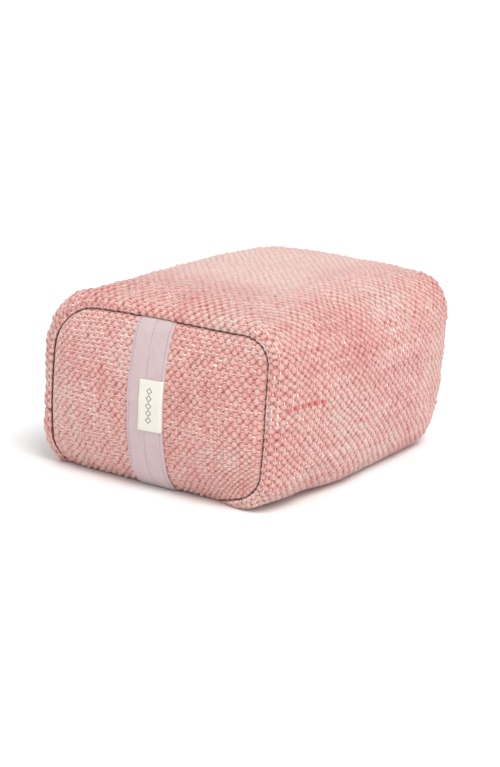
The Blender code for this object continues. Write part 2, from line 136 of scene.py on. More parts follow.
# %% Camera
CAMERA_AZIMUTH = math.radians(30.25)
CAMERA_ELEVATION = math.radians(14.75)
CAMERA_ROLL = math.radians(-3.5)
CAMERA_DISTANCE = 0.9994
AIM_HEIGHT = 52.1 * MM
CAMERA_SLIDE = (2.0 * MM, 12.2 * MM)  # right and up, to frame the brick below the middle
SENSOR = 36.0
FOCAL_IN_SENSORS = 3.448

backward = Vector((math.sin(CAMERA_AZIMUTH) * math.cos(CAMERA_ELEVATION),
                   -math.cos(CAMERA_AZIMUTH) * math.cos(CAMERA_ELEVATION),
                   math.sin(CAMERA_ELEVATION)))
level = Vector((math.cos(CAMERA_AZIMUTH), math.sin(CAMERA_AZIMUTH), 0.0))
upward = backward.cross(level)
right = level * math.cos(CAMERA_ROLL) - upward * math.sin(CAMERA_ROLL)
up = level * math.sin(CAMERA_ROLL) + upward * math.cos(CAMERA_ROLL)
aim = Vector((CENTRE_X, CENTRE_Y, AIM_HEIGHT))
eye = aim + backward * CAMERA_DISTANCE - right * CAMERA_SLIDE[0] - up * CAMERA_SLIDE[1]

lens = bpy.data.cameras.new("camera")
lens.sensor_fit = "HORIZONTAL"
lens.sensor_width = SENSOR
lens.lens = FOCAL_IN_SENSORS * SENSOR
camera = bpy.data.objects.new("camera", lens)
bpy.context.scene.collection.objects.link(camera)
camera.matrix_world = Matrix((
    (right.x, up.x, backward.x, eye.x),
    (right.y, up.y, backward.y, eye.y),
    (right.z, up.z, backward.z, eye.z),
    (0.0, 0.0, 0.0, 1.0),
))
bpy.context.scene.camera = camera
print("camera at", [round(value, 3) for value in eye], "lens", round(lens.lens, 1), "mm")

# %% [markdown]
# ## Light and floor
#
# A bright, even studio: a white room lights everything softly, and one large lamp above and to the
# right makes the top of the brick the brightest face. Colours go straight to the screen, with no
# film-like curve, so the colours chosen below are close to the colours seen.

# %% Helpers for colours and nodes
def linear(hex_colour):
    """An sRGB colour such as "e8b0a5" as linear red, green, blue and alpha."""
    channels = [int(hex_colour[i:i + 2], 16) / 255 for i in (0, 2, 4)]
    channels = [c / 12.92 if c <= 0.04045 else ((c + 0.055) / 1.055) ** 2.4 for c in channels]
    return tuple(channels + [1.0])


def node(tree, kind, inputs=None, **settings):
    """Adds a node, with its settings, its input values and its links, and returns its outputs."""
    made = tree.nodes.new("ShaderNode" + kind)
    for name, value in settings.items():
        setattr(made, name, value)
    for key, value in (inputs or {}).items():
        if isinstance(value, bpy.types.NodeSocket):
            tree.links.new(value, made.inputs[key])
        else:
            made.inputs[key].default_value = value
    return made.outputs


def new_material(name):
    """An empty node material and its tree."""
    made = bpy.data.materials.new(name)
    made.use_nodes = True
    made.node_tree.nodes.clear()
    return made, made.node_tree


def finish_material(tree, shader):
    node(tree, "OutputMaterial", {"Surface": shader})


# %% Studio
ROOM_STRENGTH = 0.76
SUN_STRENGTH = 1.85
SUN_SOFTNESS = math.radians(30)
SUN_FROM = (0.42, -0.24, 0.87)  # from the right, a little in front, and mostly from above

world = bpy.data.worlds.new("white_room")
world.use_nodes = True
world_tree = world.node_tree
world_tree.nodes.clear()
seen = node(world_tree, "Background", {"Color": linear("ffffff"), "Strength": 1.0})
lit = node(world_tree, "Background", {"Color": linear("ffffff"), "Strength": ROOM_STRENGTH})
looking = node(world_tree, "LightPath")["Is Camera Ray"]
backdrop = node(world_tree, "MixShader", {0: looking, 1: lit[0], 2: seen[0]})
node(world_tree, "OutputWorld", {"Surface": backdrop[0]})
bpy.context.scene.world = world
bpy.context.scene.view_settings.view_transform = "Standard"

sun_light = bpy.data.lights.new("big_softbox", "SUN")
sun_light.energy = SUN_STRENGTH
sun_light.angle = SUN_SOFTNESS
sun = bpy.data.objects.new("big_softbox", sun_light)
sun.rotation_euler = Vector(SUN_FROM).to_track_quat("Z", "Y").to_euler()
bpy.context.scene.collection.objects.link(sun)

white_floor, floor_tree = new_material("white_studio_floor")
floor_noise = node(floor_tree, "TexNoise", {"Scale": 3.0, "Detail": 2.0})
floor_colour = node(floor_tree, "MixRGB", {"Fac": floor_noise["Fac"], "Color1": linear("f6f9f9"),
                                           "Color2": linear("f9fcfc")})
floor_shader = node(floor_tree, "BsdfPrincipled", {"Base Color": floor_colour["Color"], "Roughness": 0.9,
                                                   "Specular IOR Level": 0.1})
finish_material(floor_tree, floor_shader["BSDF"])

FLOOR_SIZE = 30.0
floor_mesh = bpy.data.meshes.new("studio_floor")
floor_corners = [(-FLOOR_SIZE, -FLOOR_SIZE, 0), (FLOOR_SIZE, -FLOOR_SIZE, 0),
                 (FLOOR_SIZE, FLOOR_SIZE, 0), (-FLOOR_SIZE, FLOOR_SIZE, 0)]
floor_mesh.from_pydata(floor_corners, [], [(0, 1, 2, 3)])
floor_mesh.materials.append(white_floor)
floor = bpy.data.objects.new("studio_floor", floor_mesh)
bpy.context.scene.collection.objects.link(floor)
floor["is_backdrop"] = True
print("studio ready")

# %% [markdown]
# ## The shape of the filled cover
#
# The strip of cloth that wraps the brick is described by two lengths measured on the cloth itself:
# how far round the girth a point lies, and how far along. That makes the weave easy, because yarns lie
# at equal steps of those lengths. The girth is a rounded box, walked from the zip, under the brick, up
# the far side, over the top and down to the zip again. Along the length the cloth runs straight, turns
# over the end in a soft roll, and tucks into the seam.

# %% Girth of the strip
SHARPEST_CORNER = 0.2 * MM


def smoothstep(low, high, value):
    share = np.clip((value - low) / (high - low), 0.0, 1.0)
    return share * share * (3 - 2 * share)


def girth_pieces(inset, slot):
    """The straight runs and corners of the girth as (kind, numbers), for a box this far inside."""
    top_left, top_right, low_left, low_right = [
        np.maximum(radius - inset, SHARPEST_CORNER)
        for radius in (TOP_LEFT_CORNER, TOP_RIGHT_CORNER, BOTTOM_LEFT_CORNER, BOTTOM_RIGHT_CORNER)
    ]
    side = HALF_WIDTH - inset
    floor_z = inset
    roof_z = FLAT_HEIGHT - inset
    return [
        ("run", -side, ZIP_HEIGHT - slot / 2, -side, floor_z + low_left),
        ("turn", -side + low_left, floor_z + low_left, low_left, math.pi),
        ("run", -side + low_left, floor_z, side - low_right, floor_z),
        ("turn", side - low_right, floor_z + low_right, low_right, 1.5 * math.pi),
        ("run", side, floor_z + low_right, side, roof_z - top_right),
        ("turn", side - top_right, roof_z - top_right, top_right, 0.0),
        ("run", side - top_right, roof_z, -side + top_left, roof_z),
        ("turn", -side + top_left, roof_z - top_left, top_left, 0.5 * math.pi),
        ("run", -side, roof_z - top_left, -side, ZIP_HEIGHT + slot / 2),
    ]


def piece_lengths():
    """How long each piece of the girth is, on the cover's own surface."""
    lengths = []
    for kind, a, b, c, d in girth_pieces(0.0, 0.0):
        lengths.append(math.hypot(c - a, d - b) if kind == "run" else c * math.pi / 2)
    return np.array(lengths)


PIECES = piece_lengths()
PIECE_ENDS = np.concatenate([[0.0], np.cumsum(PIECES)])
GIRTH = float(PIECE_ENDS[-1])


def girth_point(around, inset, slot):
    """x and z of points that far round the girth, on the box that far inside."""
    around = np.clip(around, 0.0, GIRTH)
    x = np.zeros(np.broadcast(around, inset).shape)
    z = np.zeros_like(x)
    for index, (kind, a, b, c, d) in enumerate(girth_pieces(inset, slot)):
        share = (around - PIECE_ENDS[index]) / PIECES[index]
        here = (share >= 0) & (share <= 1)
        if kind == "run":
            px, pz = a + (c - a) * share, b + (d - b) * share
        else:
            turn = d + share * math.pi / 2
            px, pz = a + c * np.cos(turn), b + c * np.sin(turn)
        x = np.where(here, px, x)
        z = np.where(here, pz, z)
    return x, z


print("girth in mm:", round(GIRTH / MM, 1))

# %% [markdown]
# ## The end roll and the puff
#
# Filling pushes cloth out most where it is far from a seam. Two small functions describe that: one
# turns a length along the strip into a place and a depth, the other moves a point of the plain box
# outwards.

# %% Roll and puff
FLAT_RUN = HALF_LENGTH - END_ROLL
ROLL_RUN = END_ROLL * math.pi / 2
TUCK_RUN = TUCK * math.pi / 2
HALF_STRIP = FLAT_RUN + ROLL_RUN + TUCK_RUN + TUCK_DEPTH


def end_profile(along):
    """y and inset of the strip at a length along it, measured from the middle."""
    far = np.abs(along)
    turn = np.clip((far - FLAT_RUN) / END_ROLL, 0, math.pi / 2)
    tuck = np.clip((far - FLAT_RUN - ROLL_RUN) / TUCK, 0, math.pi / 2)
    dive = np.maximum(far - FLAT_RUN - ROLL_RUN - TUCK_RUN, 0)
    y = np.minimum(far, FLAT_RUN) + END_ROLL * np.sin(turn) - TUCK * (1 - np.cos(tuck)) - dive
    inset = END_ROLL * (1 - np.cos(turn)) + TUCK * np.sin(tuck)
    return np.sign(along) * y, inset


def slot_width(y):
    """The opening for the zip, which closes to a sewn seam beyond its two ends."""
    return SEAM_SLOT + (ZIP_SLOT - SEAM_SLOT) * (1 - smoothstep(ZIP_END, ZIP_END + ZIP_FLARE, np.abs(y)))


ZIP_STIFF = (8 * MM, 38 * MM)  # a zip keeps its side flat to the first height above it, then less


def puffed(x, y, z):
    """Moves points of the plain box to where the filling pushes the cloth."""
    across = np.clip(x / HALF_WIDTH, -1, 1)
    lift = np.clip(2 * z / FLAT_HEIGHT - 1, -1, 1)
    bowed = 1 - np.clip(np.abs(y) / HALF_LENGTH, 0, 1) ** 3
    above_zip = smoothstep(ZIP_HEIGHT + ZIP_STIFF[0], ZIP_HEIGHT + ZIP_STIFF[1], z)
    bulge = np.where(x > 0, RIGHT_BULGE, LEFT_BULGE * above_zip)
    out = bulge * bowed * (1 - lift ** 2) * across ** 3
    rise = TOP_CROWN * bowed * (1 - across ** 2) * np.maximum(lift, 0) ** 3
    return np.stack([x + out, y, z + rise], axis=-1)


# The weight of the brick rolls the foot of each end panel right under it, so its bottom seam lies on
# the floor out of sight, except near the right corner.
UNDER_PUSH = 7.0 * MM
UNDER_HEIGHT = 38 * MM
FOOT_PUSH = 7.5 * MM
FOOT_DROP = 12.0 * MM
FOOT_HEIGHT = 38 * MM
FOOT_FLAT = 10 * MM  # below this the foot drops fully
FOOT_ROLL = 14 * MM
UNDER_ZONE = (22 * MM, 4 * MM)  # distances from the end where a push starts and is full
FOOT_ZONE = (50 * MM, 8 * MM)
UNDER_FADE = 52 * MM
SIDE_GAP = 8 * MM
LEFT_FADE = (-2 * MM, 22 * MM)  # the roll grows between these distances from the left side
FLATTEST = 0.1  # the share of its height that a point pressed to the floor keeps
FLATTEST_UP_TO = 20 * MM
# The bottom right corner of each end is drawn in and up a little.
HEEL_PULL = 2.6 * MM
HEEL_LIFT = 0.8 * MM
HEEL_REACH = 15 * MM
HEEL_IN = (6 * MM, 4 * MM)  # from the right side, and from the end
HEEL_HEIGHTS = (4 * MM, 44 * MM)
# Along the right foot the cloth sags out to the floor.
SAG_OUT = 3.6 * MM
SAG_DOWN = 2.8 * MM
SAG_REACH = 16 * MM
SAG_FROM_FRONT = (36 * MM, 84 * MM)
SAG_FROM_REAR = 32 * MM
# The seam's top left corner is drawn in a little more than its top right one.
CORNER_PULL = 2.6 * MM
CORNER_REACH = 17 * MM
CORNER_ZONE = (9 * MM, 1 * MM)
ON_CORNER = 0.3  # a corner's surface lies about this share of its radius inside the square corner


def near_end(y, start, full):
    """0 further than start from either end of the brick, and 1 nearer than full."""
    return smoothstep(HALF_LENGTH - start, HALF_LENGTH - full, np.abs(y))


def near_line(off_x, off_z, reach):
    """1 on a line that runs along the brick, fading away round it."""
    return np.exp(-(off_x ** 2 + off_z ** 2) / (2 * reach ** 2))


def at_rest(points):
    """Where the floor and the sewing leave points of the puffed shape, in the frame's own place."""
    x, y, z = points[..., 0], points[..., 1], points[..., 2]
    end = near_end(y, *UNDER_ZONE)
    middle = 1 - smoothstep(HALF_WIDTH - UNDER_FADE - SIDE_GAP, HALF_WIDTH - SIDE_GAP, x)
    left_side = smoothstep(-HALF_WIDTH + LEFT_FADE[0], -HALF_WIDTH + LEFT_FADE[1], x)
    push = UNDER_PUSH * middle * (0.3 + 0.7 * left_side) * end * (1 - smoothstep(0, UNDER_HEIGHT, z))
    foot = middle * (0.25 + 0.75 * left_side)
    rolled = FOOT_PUSH * foot * near_end(y, *FOOT_ZONE)
    push = push + rolled * (1 - smoothstep(PANEL_INSET, PANEL_INSET + FOOT_ROLL, z))
    drop = FOOT_DROP * foot * end * (1 - smoothstep(FOOT_FLAT, FOOT_HEIGHT, z))
    fallen = np.maximum(z - drop, FLATTEST * np.minimum(z, FLATTEST_UP_TO))
    heel = np.hypot(x - HALF_WIDTH + HEEL_IN[0], np.abs(y) - HALF_LENGTH + HEEL_IN[1])
    heel = np.exp(-(heel / HEEL_REACH) ** 2) * (1 - smoothstep(HEEL_HEIGHTS[0], HEEL_HEIGHTS[1], z))
    inward = ON_CORNER * BOTTOM_RIGHT_CORNER
    sag = near_line(x - (HALF_WIDTH - inward), z - inward, SAG_REACH) * (x > 0)
    sag = sag * smoothstep(SAG_FROM_FRONT[0], SAG_FROM_FRONT[1], HALF_LENGTH + y)
    sag = sag * smoothstep(0, SAG_FROM_REAR, HALF_LENGTH - y)
    inward = ON_CORNER * TOP_LEFT_CORNER
    pull = CORNER_PULL * near_end(y, *CORNER_ZONE)
    pull = pull * near_line(x + HALF_WIDTH - inward, z - FLAT_HEIGHT + inward, CORNER_REACH)
    moved_x = x + SAG_OUT * sag + pull - HEEL_PULL * heel
    moved_y = y - np.sign(y) * (push + HEEL_PULL * heel)
    lowest = FLATTEST * np.minimum(z, 0)
    moved_z = np.maximum(fallen - SAG_DOWN * sag, lowest) - pull + HEEL_LIFT * heel
    return np.stack([moved_x + CENTRE_X, moved_y + CENTRE_Y, moved_z], axis=-1)


def strip_surface(around, along):
    """Points of the strip before its weave is added."""
    y, inset = end_profile(along)
    around, y, inset = np.broadcast_arrays(around, y, inset)
    x, z = girth_point(around, inset, slot_width(y))
    return at_rest(puffed(x, y, z))


# %% [markdown]
# ## The end panels
#
# An end panel is a rounded rectangle of cloth that bulges like a pillow. Its rim turns back into the
# same seam as the strip. The distance of a point from the outline decides how far it has turned.

# %% End panel surface
PANEL_HALF_WIDTH = HALF_WIDTH - PANEL_INSET
PANEL_LOW = PANEL_INSET
PANEL_HIGH = FLAT_HEIGHT - PANEL_INSET
PANEL_MIDDLE = (PANEL_LOW + PANEL_HIGH) / 2
PANEL_HALF_HEIGHT = (PANEL_HIGH - PANEL_LOW) / 2


def panel_radius(right_side, z):
    """The radius of the panel's corner nearest to a point."""
    top = np.where(right_side, TOP_RIGHT_CORNER, TOP_LEFT_CORNER)
    low = np.where(right_side, BOTTOM_RIGHT_CORNER, BOTTOM_LEFT_CORNER)
    return np.where(z > PANEL_MIDDLE, top, low) - PANEL_INSET


def rim_distance(x, z):
    """How far inside the panel's outline a point is."""
    radius = panel_radius(x > 0, z)
    across = np.abs(x) - PANEL_HALF_WIDTH + radius
    rise = np.abs(z - PANEL_MIDDLE) - PANEL_HALF_HEIGHT + radius
    outside = np.hypot(np.maximum(across, 0), np.maximum(rise, 0))
    return -(outside + np.minimum(np.maximum(across, rise), 0) - radius)


def panel_reach(right_side, z):
    """How far the panel reaches to one side at a height."""
    radius = panel_radius(right_side, z)
    depth = np.abs(z - PANEL_MIDDLE) - PANEL_HALF_HEIGHT + radius
    corner = np.sqrt(np.maximum(radius ** 2 - np.maximum(depth, 0) ** 2, 0))
    return np.where(depth > 0, PANEL_HALF_WIDTH - radius + corner, PANEL_HALF_WIDTH)


def panel_bulge(x, z):
    across = np.clip(np.abs(x) / PANEL_HALF_WIDTH, 0, 1)
    lift = np.clip(np.abs(z - PANEL_MIDDLE) / PANEL_HALF_HEIGHT, 0, 1)
    rim = np.clip(1 - rim_distance(x, z) / PANEL_EDGE, 0, 1)
    return END_BULGE * (1 - across ** 4) * (1 - lift ** 2.2) - PANEL_EDGE * (1 - np.sqrt(1 - rim ** 2))


def panel_surface(x, z, facing):
    """Points of an end panel, facing -1 for the front and 1 for the rear."""
    x, z = np.broadcast_arrays(x, z)
    return at_rest(np.stack([x, facing * (HALF_LENGTH + panel_bulge(x, z)), z], axis=-1))


# %% [markdown]
# ## Letting the cloth settle
#
# A formula gives the right size, but not the small unevenness of real sewing. Blender's Cloth does: a
# coarse copy of the whole cover, closed like the real one, is blown up gently from inside while its
# seams, its underside and the edges along the zip are held. How far each point moved, capped at a
# few millimetres, is kept as a smooth field that is added to the fine surfaces later.

# %% Smooth fields
def cubic_lookup(values, first, second, wrap_first=False):
    """Smoothly reads a grid of values at fractional row and column positions."""
    def weights(share):
        return np.stack([
            ((-0.5 * share + 1.0) * share - 0.5) * share,
            (1.5 * share - 2.5) * share * share + 1.0,
            ((-1.5 * share + 2.0) * share + 0.5) * share,
            (0.5 * share - 0.5) * share * share,
        ])

    rows, columns = values.shape[:2]
    row = np.floor(first).astype(int)
    column = np.floor(second).astype(int)
    row_weights = weights(first - row)
    column_weights = weights(second - column)
    total = 0.0
    for i in range(4):
        at_row = (row + i - 1) % rows if wrap_first else np.clip(row + i - 1, 0, rows - 1)
        for j in range(4):
            at_column = np.clip(column + j - 1, 0, columns - 1)
            share = row_weights[i] * column_weights[j]
            picked = values[at_row, at_column]
            total = total + (share[..., None] * picked if values.ndim == 3 else share * picked)
    return total


def uneven(seed, first, second, step):
    """A smooth random field from -1 to 1 whose bumps are a step apart."""
    first, second = np.broadcast_arrays(first / step, second / step)
    low_first, low_second = first.min(), second.min()
    rows = int(first.max() - low_first) + 4
    columns = int(second.max() - low_second) + 4
    grid = np.random.default_rng(seed).uniform(-1, 1, (rows, columns))
    return cubic_lookup(grid, first - low_first + 1, second - low_second + 1)


# %% Coarse closed cover
AROUND_STEPS = 76
ALONG_STEPS = 36
RING_STEPS = 7
FRAMES = 20
PRESSURE = 4.0
MOST_MOVED = 3.0 * MM


def coarse_cover():
    """The closed coarse mesh: the strip's grid and, at each end, rings that shrink to a middle point."""
    around = np.arange(AROUND_STEPS) / AROUND_STEPS * GIRTH
    along = np.linspace(-(FLAT_RUN + ROLL_RUN), FLAT_RUN + ROLL_RUN, ALONG_STEPS + 1)
    strip = strip_surface(around[:, None], along[None, :])
    points = [strip.reshape(-1, 3)]
    faces = []
    count = ALONG_STEPS + 1
    for i in range(AROUND_STEPS):
        after = (i + 1) % AROUND_STEPS
        for j in range(ALONG_STEPS):
            faces.append((i * count + j, after * count + j, after * count + j + 1, i * count + j + 1))
    start = AROUND_STEPS * count
    for facing, edge in ((-1, 0), (1, ALONG_STEPS)):
        rim_x, rim_z = girth_point(around, np.array(END_ROLL), 0.0)
        rings = [[i * count + edge for i in range(AROUND_STEPS)]]
        for ring in range(1, RING_STEPS):
            share = 1 - ring / RING_STEPS
            points.append(panel_surface(rim_x * share, PANEL_MIDDLE + (rim_z - PANEL_MIDDLE) * share, facing))
            rings.append([start + i for i in range(AROUND_STEPS)])
            start += AROUND_STEPS
        for outer, inner in zip(rings, rings[1:]):
            for i in range(AROUND_STEPS):
                after = (i + 1) % AROUND_STEPS
                faces.append((outer[i], outer[after], inner[after], inner[i]))
        points.append(panel_surface(np.zeros(1), np.full(1, PANEL_MIDDLE), facing))
        for i in range(AROUND_STEPS):
            faces.append((rings[-1][i], rings[-1][(i + 1) % AROUND_STEPS], start))
        start += 1
    return np.concatenate(points), faces, around, along


def held_share(points):
    """How firmly each point is held: the underside, the two seams and the edges along the zip."""
    x = points[:, 0] - CENTRE_X
    y = np.abs(points[:, 1] - CENTRE_Y)
    z = points[:, 2]
    under = 1 - smoothstep(0.5 * MM, 6 * MM, z)
    zip_edge = (x < 0) * (1 - smoothstep(8 * MM, 18 * MM, np.abs(z - ZIP_HEIGHT)))
    held = np.maximum(under, zip_edge * (y < HALF_LENGTH - END_ROLL))
    count = ALONG_STEPS + 1
    for edge in (0, ALONG_STEPS):
        held[edge:AROUND_STEPS * count:count] = 1
    return np.clip(held, 0, 1)


def settle(points, faces):
    """Blows the coarse cover up with Cloth and returns how far each point moved."""
    mesh = bpy.data.meshes.new("coarse_cover")
    mesh.from_pydata(points.tolist(), [], faces)
    builder = bmesh.new()
    builder.from_mesh(mesh)
    bmesh.ops.recalc_face_normals(builder, faces=builder.faces)
    builder.to_mesh(mesh)
    builder.free()
    coarse = bpy.data.objects.new("coarse_cover", mesh)
    bpy.context.scene.collection.objects.link(coarse)
    group = coarse.vertex_groups.new(name="held")
    for index, share in enumerate(held_share(points)):
        group.add([index], float(share), "REPLACE")
    cloth = coarse.modifiers.new("cloth", "CLOTH")
    settings = cloth.settings
    settings.quality = 6
    settings.mass = 0.25
    settings.tension_stiffness = 12
    settings.compression_stiffness = 12
    settings.shear_stiffness = 4
    settings.bending_stiffness = 0.4
    settings.use_pressure = True
    settings.uniform_pressure_force = PRESSURE
    settings.shrink_min = 0.0
    settings.vertex_group_mass = "held"
    settings.effector_weights.gravity = 0
    cloth.point_cache.frame_start = 1
    cloth.point_cache.frame_end = FRAMES
    for moment in range(1, FRAMES + 1):
        bpy.context.scene.frame_set(moment)
    graph = bpy.context.evaluated_depsgraph_get()
    settled = coarse.evaluated_get(graph).to_mesh()
    after = np.empty(len(points) * 3, np.float32)
    settled.vertices.foreach_get("co", after)
    coarse.evaluated_get(graph).to_mesh_clear()
    bpy.data.objects.remove(coarse, do_unlink=True)
    bpy.data.meshes.remove(mesh)
    bpy.context.scene.frame_set(1)
    moved = after.reshape(-1, 3) - points
    distance = np.linalg.norm(moved, axis=1, keepdims=True)
    return moved * np.minimum(1.0, MOST_MOVED / np.maximum(distance, 1e-9))


coarse_points, coarse_faces, coarse_around, coarse_along = coarse_cover()
moved = settle(coarse_points, coarse_faces)
print("cloth moved at most", round(float(np.linalg.norm(moved, axis=1).max()) / MM, 2), "mm")

# %% Fields from the settled cloth
STRIP_COUNT = AROUND_STEPS * (ALONG_STEPS + 1)
strip_moved = moved[:STRIP_COUNT].reshape(AROUND_STEPS, ALONG_STEPS + 1, 3)


def end_field(start, edge):
    """Rings of movement from the rim inwards, the last one all at the middle."""
    rings = [strip_moved[:, edge]]
    for ring in range(RING_STEPS - 1):
        rings.append(moved[start + ring * AROUND_STEPS:start + (ring + 1) * AROUND_STEPS])
    middle = moved[start + (RING_STEPS - 1) * AROUND_STEPS]
    rings.append(np.tile(middle, (AROUND_STEPS, 1)))
    return np.stack(rings, axis=1)


END_COUNT = (RING_STEPS - 1) * AROUND_STEPS + 1
end_moved = {-1: end_field(STRIP_COUNT, 0), 1: end_field(STRIP_COUNT + END_COUNT, ALONG_STEPS)}
rim_x, rim_z = girth_point(coarse_around, np.array(END_ROLL), 0.0)
rim_angle = np.unwrap(np.arctan2(rim_z - PANEL_MIDDLE, rim_x))
rim_reach = np.hypot(rim_x, rim_z - PANEL_MIDDLE)


def strip_settle(around, along):
    """Movement of the settled strip at points of the cloth."""
    around, along = np.broadcast_arrays(around, along)
    first = around / GIRTH * AROUND_STEPS
    second = (along - coarse_along[0]) / (coarse_along[-1] - coarse_along[0]) * ALONG_STEPS
    return cubic_lookup(strip_moved, first, np.clip(second, 0, ALONG_STEPS), wrap_first=True)


def panel_settle(x, z, facing):
    """Movement of a settled end panel at points of the cloth."""
    angle = np.arctan2(z - PANEL_MIDDLE, x)
    angle = rim_angle[0] + np.mod(angle - rim_angle[0], 2 * math.pi)
    turns = np.append(rim_angle, rim_angle[0] + 2 * math.pi)
    first = np.interp(angle, turns, np.arange(AROUND_STEPS + 1))
    reach = np.interp(angle, turns, np.append(rim_reach, rim_reach[0]))
    second = (1 - np.hypot(x, z - PANEL_MIDDLE) / reach) * RING_STEPS
    return cubic_lookup(end_moved[facing], first, np.clip(second, 0, RING_STEPS), wrap_first=True)


# %% [markdown]
# ## The weave
#
# The cloth is a plain weave of thick, soft pink yarns that run along the brick, crossed by a thin
# cream thread. Each pink yarn goes over one thread and under the next, and its neighbour does the
# opposite, so the surface is a brickwork of plump bumps, with a glint of cream and a dark hole between
# them. The bumps are real geometry here: vertices fall on every crossing, except underneath, where the
# cloth is out of sight and flat on the floor.

# %% Weave geometry
YARN = 2.30 * MM  # from one pink yarn to the next, round the strip
PANEL_YARN = 2.12 * MM  # on the end panels
PICK = 3.02 * MM  # from one cream thread to the next, along the strip
PANEL_PICK = 2.66 * MM
RELIEF = 1.45 * MM
BUMP_WIDTH = 0.97  # half a bump's width in yarns
BUMP_LENGTH = 1.0  # half a bump's length in picks
BUMP_SQUARE = 1.75  # 1 would make the bumps diamonds, 2 ovals
BUMP_ROUND = 0.62  # how steeply their sides rise
THREAD_RISE = 0.34
END_SLANT = 0.09  # how far the bumps of the ends lean with the twist of the yarn


def bump_height(yarn, pick, slant=0.0):
    """Height of the woven surface from 0 to 1, for positions counted in yarns and picks.

    slant is how far the bumps lean over with the twist of the yarn."""
    best = np.zeros(np.broadcast(yarn, pick).shape)
    for shift in (0.0, 1.0):
        across = (yarn - shift) - 2 * np.round((yarn - shift) / 2)
        along = (pick - shift) - 2 * np.round((pick - shift) / 2)
        leaning_across = np.abs(across - slant * along)
        leaning_along = np.abs(along - slant * across)
        across, along = np.abs(across), np.abs(along)
        body = 1 - (leaning_across / BUMP_WIDTH) ** BUMP_SQUARE
        body = body - (leaning_along / BUMP_LENGTH) ** BUMP_SQUARE
        best = np.maximum(best, np.maximum(body, 0) ** BUMP_ROUND)
        thread = 1 - ((1 - across) / 0.6) ** 2 - (along / 0.32) ** 2
        best = np.maximum(best, THREAD_RISE * np.sqrt(np.maximum(thread, 0)))
    return best


def yarn_size(yarn, pick, seed):
    """How plump each yarn is: it differs from yarn to yarn and swells and thins along its length."""
    plump = np.random.default_rng(seed).uniform(0.70, 1.12, 600)
    whole = np.clip(np.round(yarn).astype(int), 0, 599)
    swell = 1 + 0.18 * uneven(seed + 1, yarn * 1.0, pick / 3.0, 1.0)
    return plump[whole] * swell * (1 + 0.22 * uneven(seed + 2, yarn / 1.3, pick / 1.3, 1.0))


def normals_of(points):
    """Unit normals of a grid of points: along its rows, crossed with along its columns."""
    crossed = np.cross(np.gradient(points, axis=0), np.gradient(points, axis=1))
    return crossed / np.maximum(np.linalg.norm(crossed, axis=-1, keepdims=True), 1e-12)


# %% Meshes from grids
def clean(mesh, merge=0.0):
    """Merges doubled points, if asked, and turns every face outwards."""
    builder = bmesh.new()
    builder.from_mesh(mesh)
    if merge > 0:
        bmesh.ops.remove_doubles(builder, verts=builder.verts, dist=merge)
    bmesh.ops.recalc_face_normals(builder, faces=builder.faces)
    builder.to_mesh(mesh)
    builder.free()
    mesh.shade_smooth()


def sheet_mesh(name, outer, inner, uv, every, merge=0.0, from_seam=None):
    """A sheet with a back: a fine outer grid, a coarser inner one, and borders that join them.

    every holds the rows and the columns of the outer grid that the inner one repeats. from_seam is
    how far, in mm, each point is from the line where the cloth disappears into a seam."""
    rows, columns = outer.shape[:2]
    picked_rows, picked_columns = every
    index = np.arange(rows * columns).reshape(rows, columns)
    inner_points = inner[np.ix_(picked_rows, picked_columns)]
    inner_index = rows * columns + np.arange(inner_points.shape[0] * inner_points.shape[1])
    inner_index = inner_index.reshape(inner_points.shape[:2])
    quads = np.stack([index[:-1, :-1], index[1:, :-1], index[1:, 1:], index[:-1, 1:]], axis=-1)
    faces = quads.reshape(-1, 4).tolist()
    quads = np.stack([inner_index[:-1, :-1], inner_index[:-1, 1:], inner_index[1:, 1:],
                      inner_index[1:, :-1]], axis=-1)
    faces += quads.reshape(-1, 4).tolist()
    for k, (low, high) in enumerate(zip(picked_rows, picked_rows[1:])):
        for edge, inner_edge, forward in ((0, 0, 1), (columns - 1, -1, -1)):
            rim = index[low:high + 1, edge].tolist() + [int(inner_index[k + 1, inner_edge]),
                                                        int(inner_index[k, inner_edge])]
            faces.append(rim[::-forward])
    for k, (low, high) in enumerate(zip(picked_columns, picked_columns[1:])):
        for edge, inner_edge, forward in ((0, 0, -1), (rows - 1, -1, 1)):
            rim = index[edge, low:high + 1].tolist() + [int(inner_index[inner_edge, k + 1]),
                                                        int(inner_index[inner_edge, k])]
            faces.append(rim[::-forward])
    points = np.concatenate([outer.reshape(-1, 3), inner_points.reshape(-1, 3)])
    places = np.concatenate([uv.reshape(-1, 2), uv[np.ix_(picked_rows, picked_columns)].reshape(-1, 2)])
    mesh = bpy.data.meshes.new(name)
    mesh.from_pydata(points.tolist(), [], faces)
    layer = mesh.uv_layers.new(name="weave")
    corners = np.empty(len(mesh.loops), np.int32)
    mesh.loops.foreach_get("vertex_index", corners)
    layer.data.foreach_set("uv", places[corners].astype(np.float32).ravel())
    if from_seam is not None:
        depth = np.concatenate([from_seam.ravel(), from_seam[np.ix_(picked_rows, picked_columns)].ravel()])
        layer = mesh.uv_layers.new(name="from_seam")
        pairs = np.stack([depth[corners], np.zeros(len(corners))], axis=-1)
        layer.data.foreach_set("uv", pairs.astype(np.float32).ravel())
    clean(mesh, merge)
    return mesh


def place_piece(name, mesh, material, body, replaced):
    """Puts a finished mesh into the scene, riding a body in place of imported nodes."""
    made = bpy.data.objects.new(name, mesh)
    bpy.context.scene.collection.objects.link(made)
    mesh.materials.clear()
    mesh.materials.append(material)
    if body is not None:
        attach(made, body)
    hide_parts(*replaced)
    return made


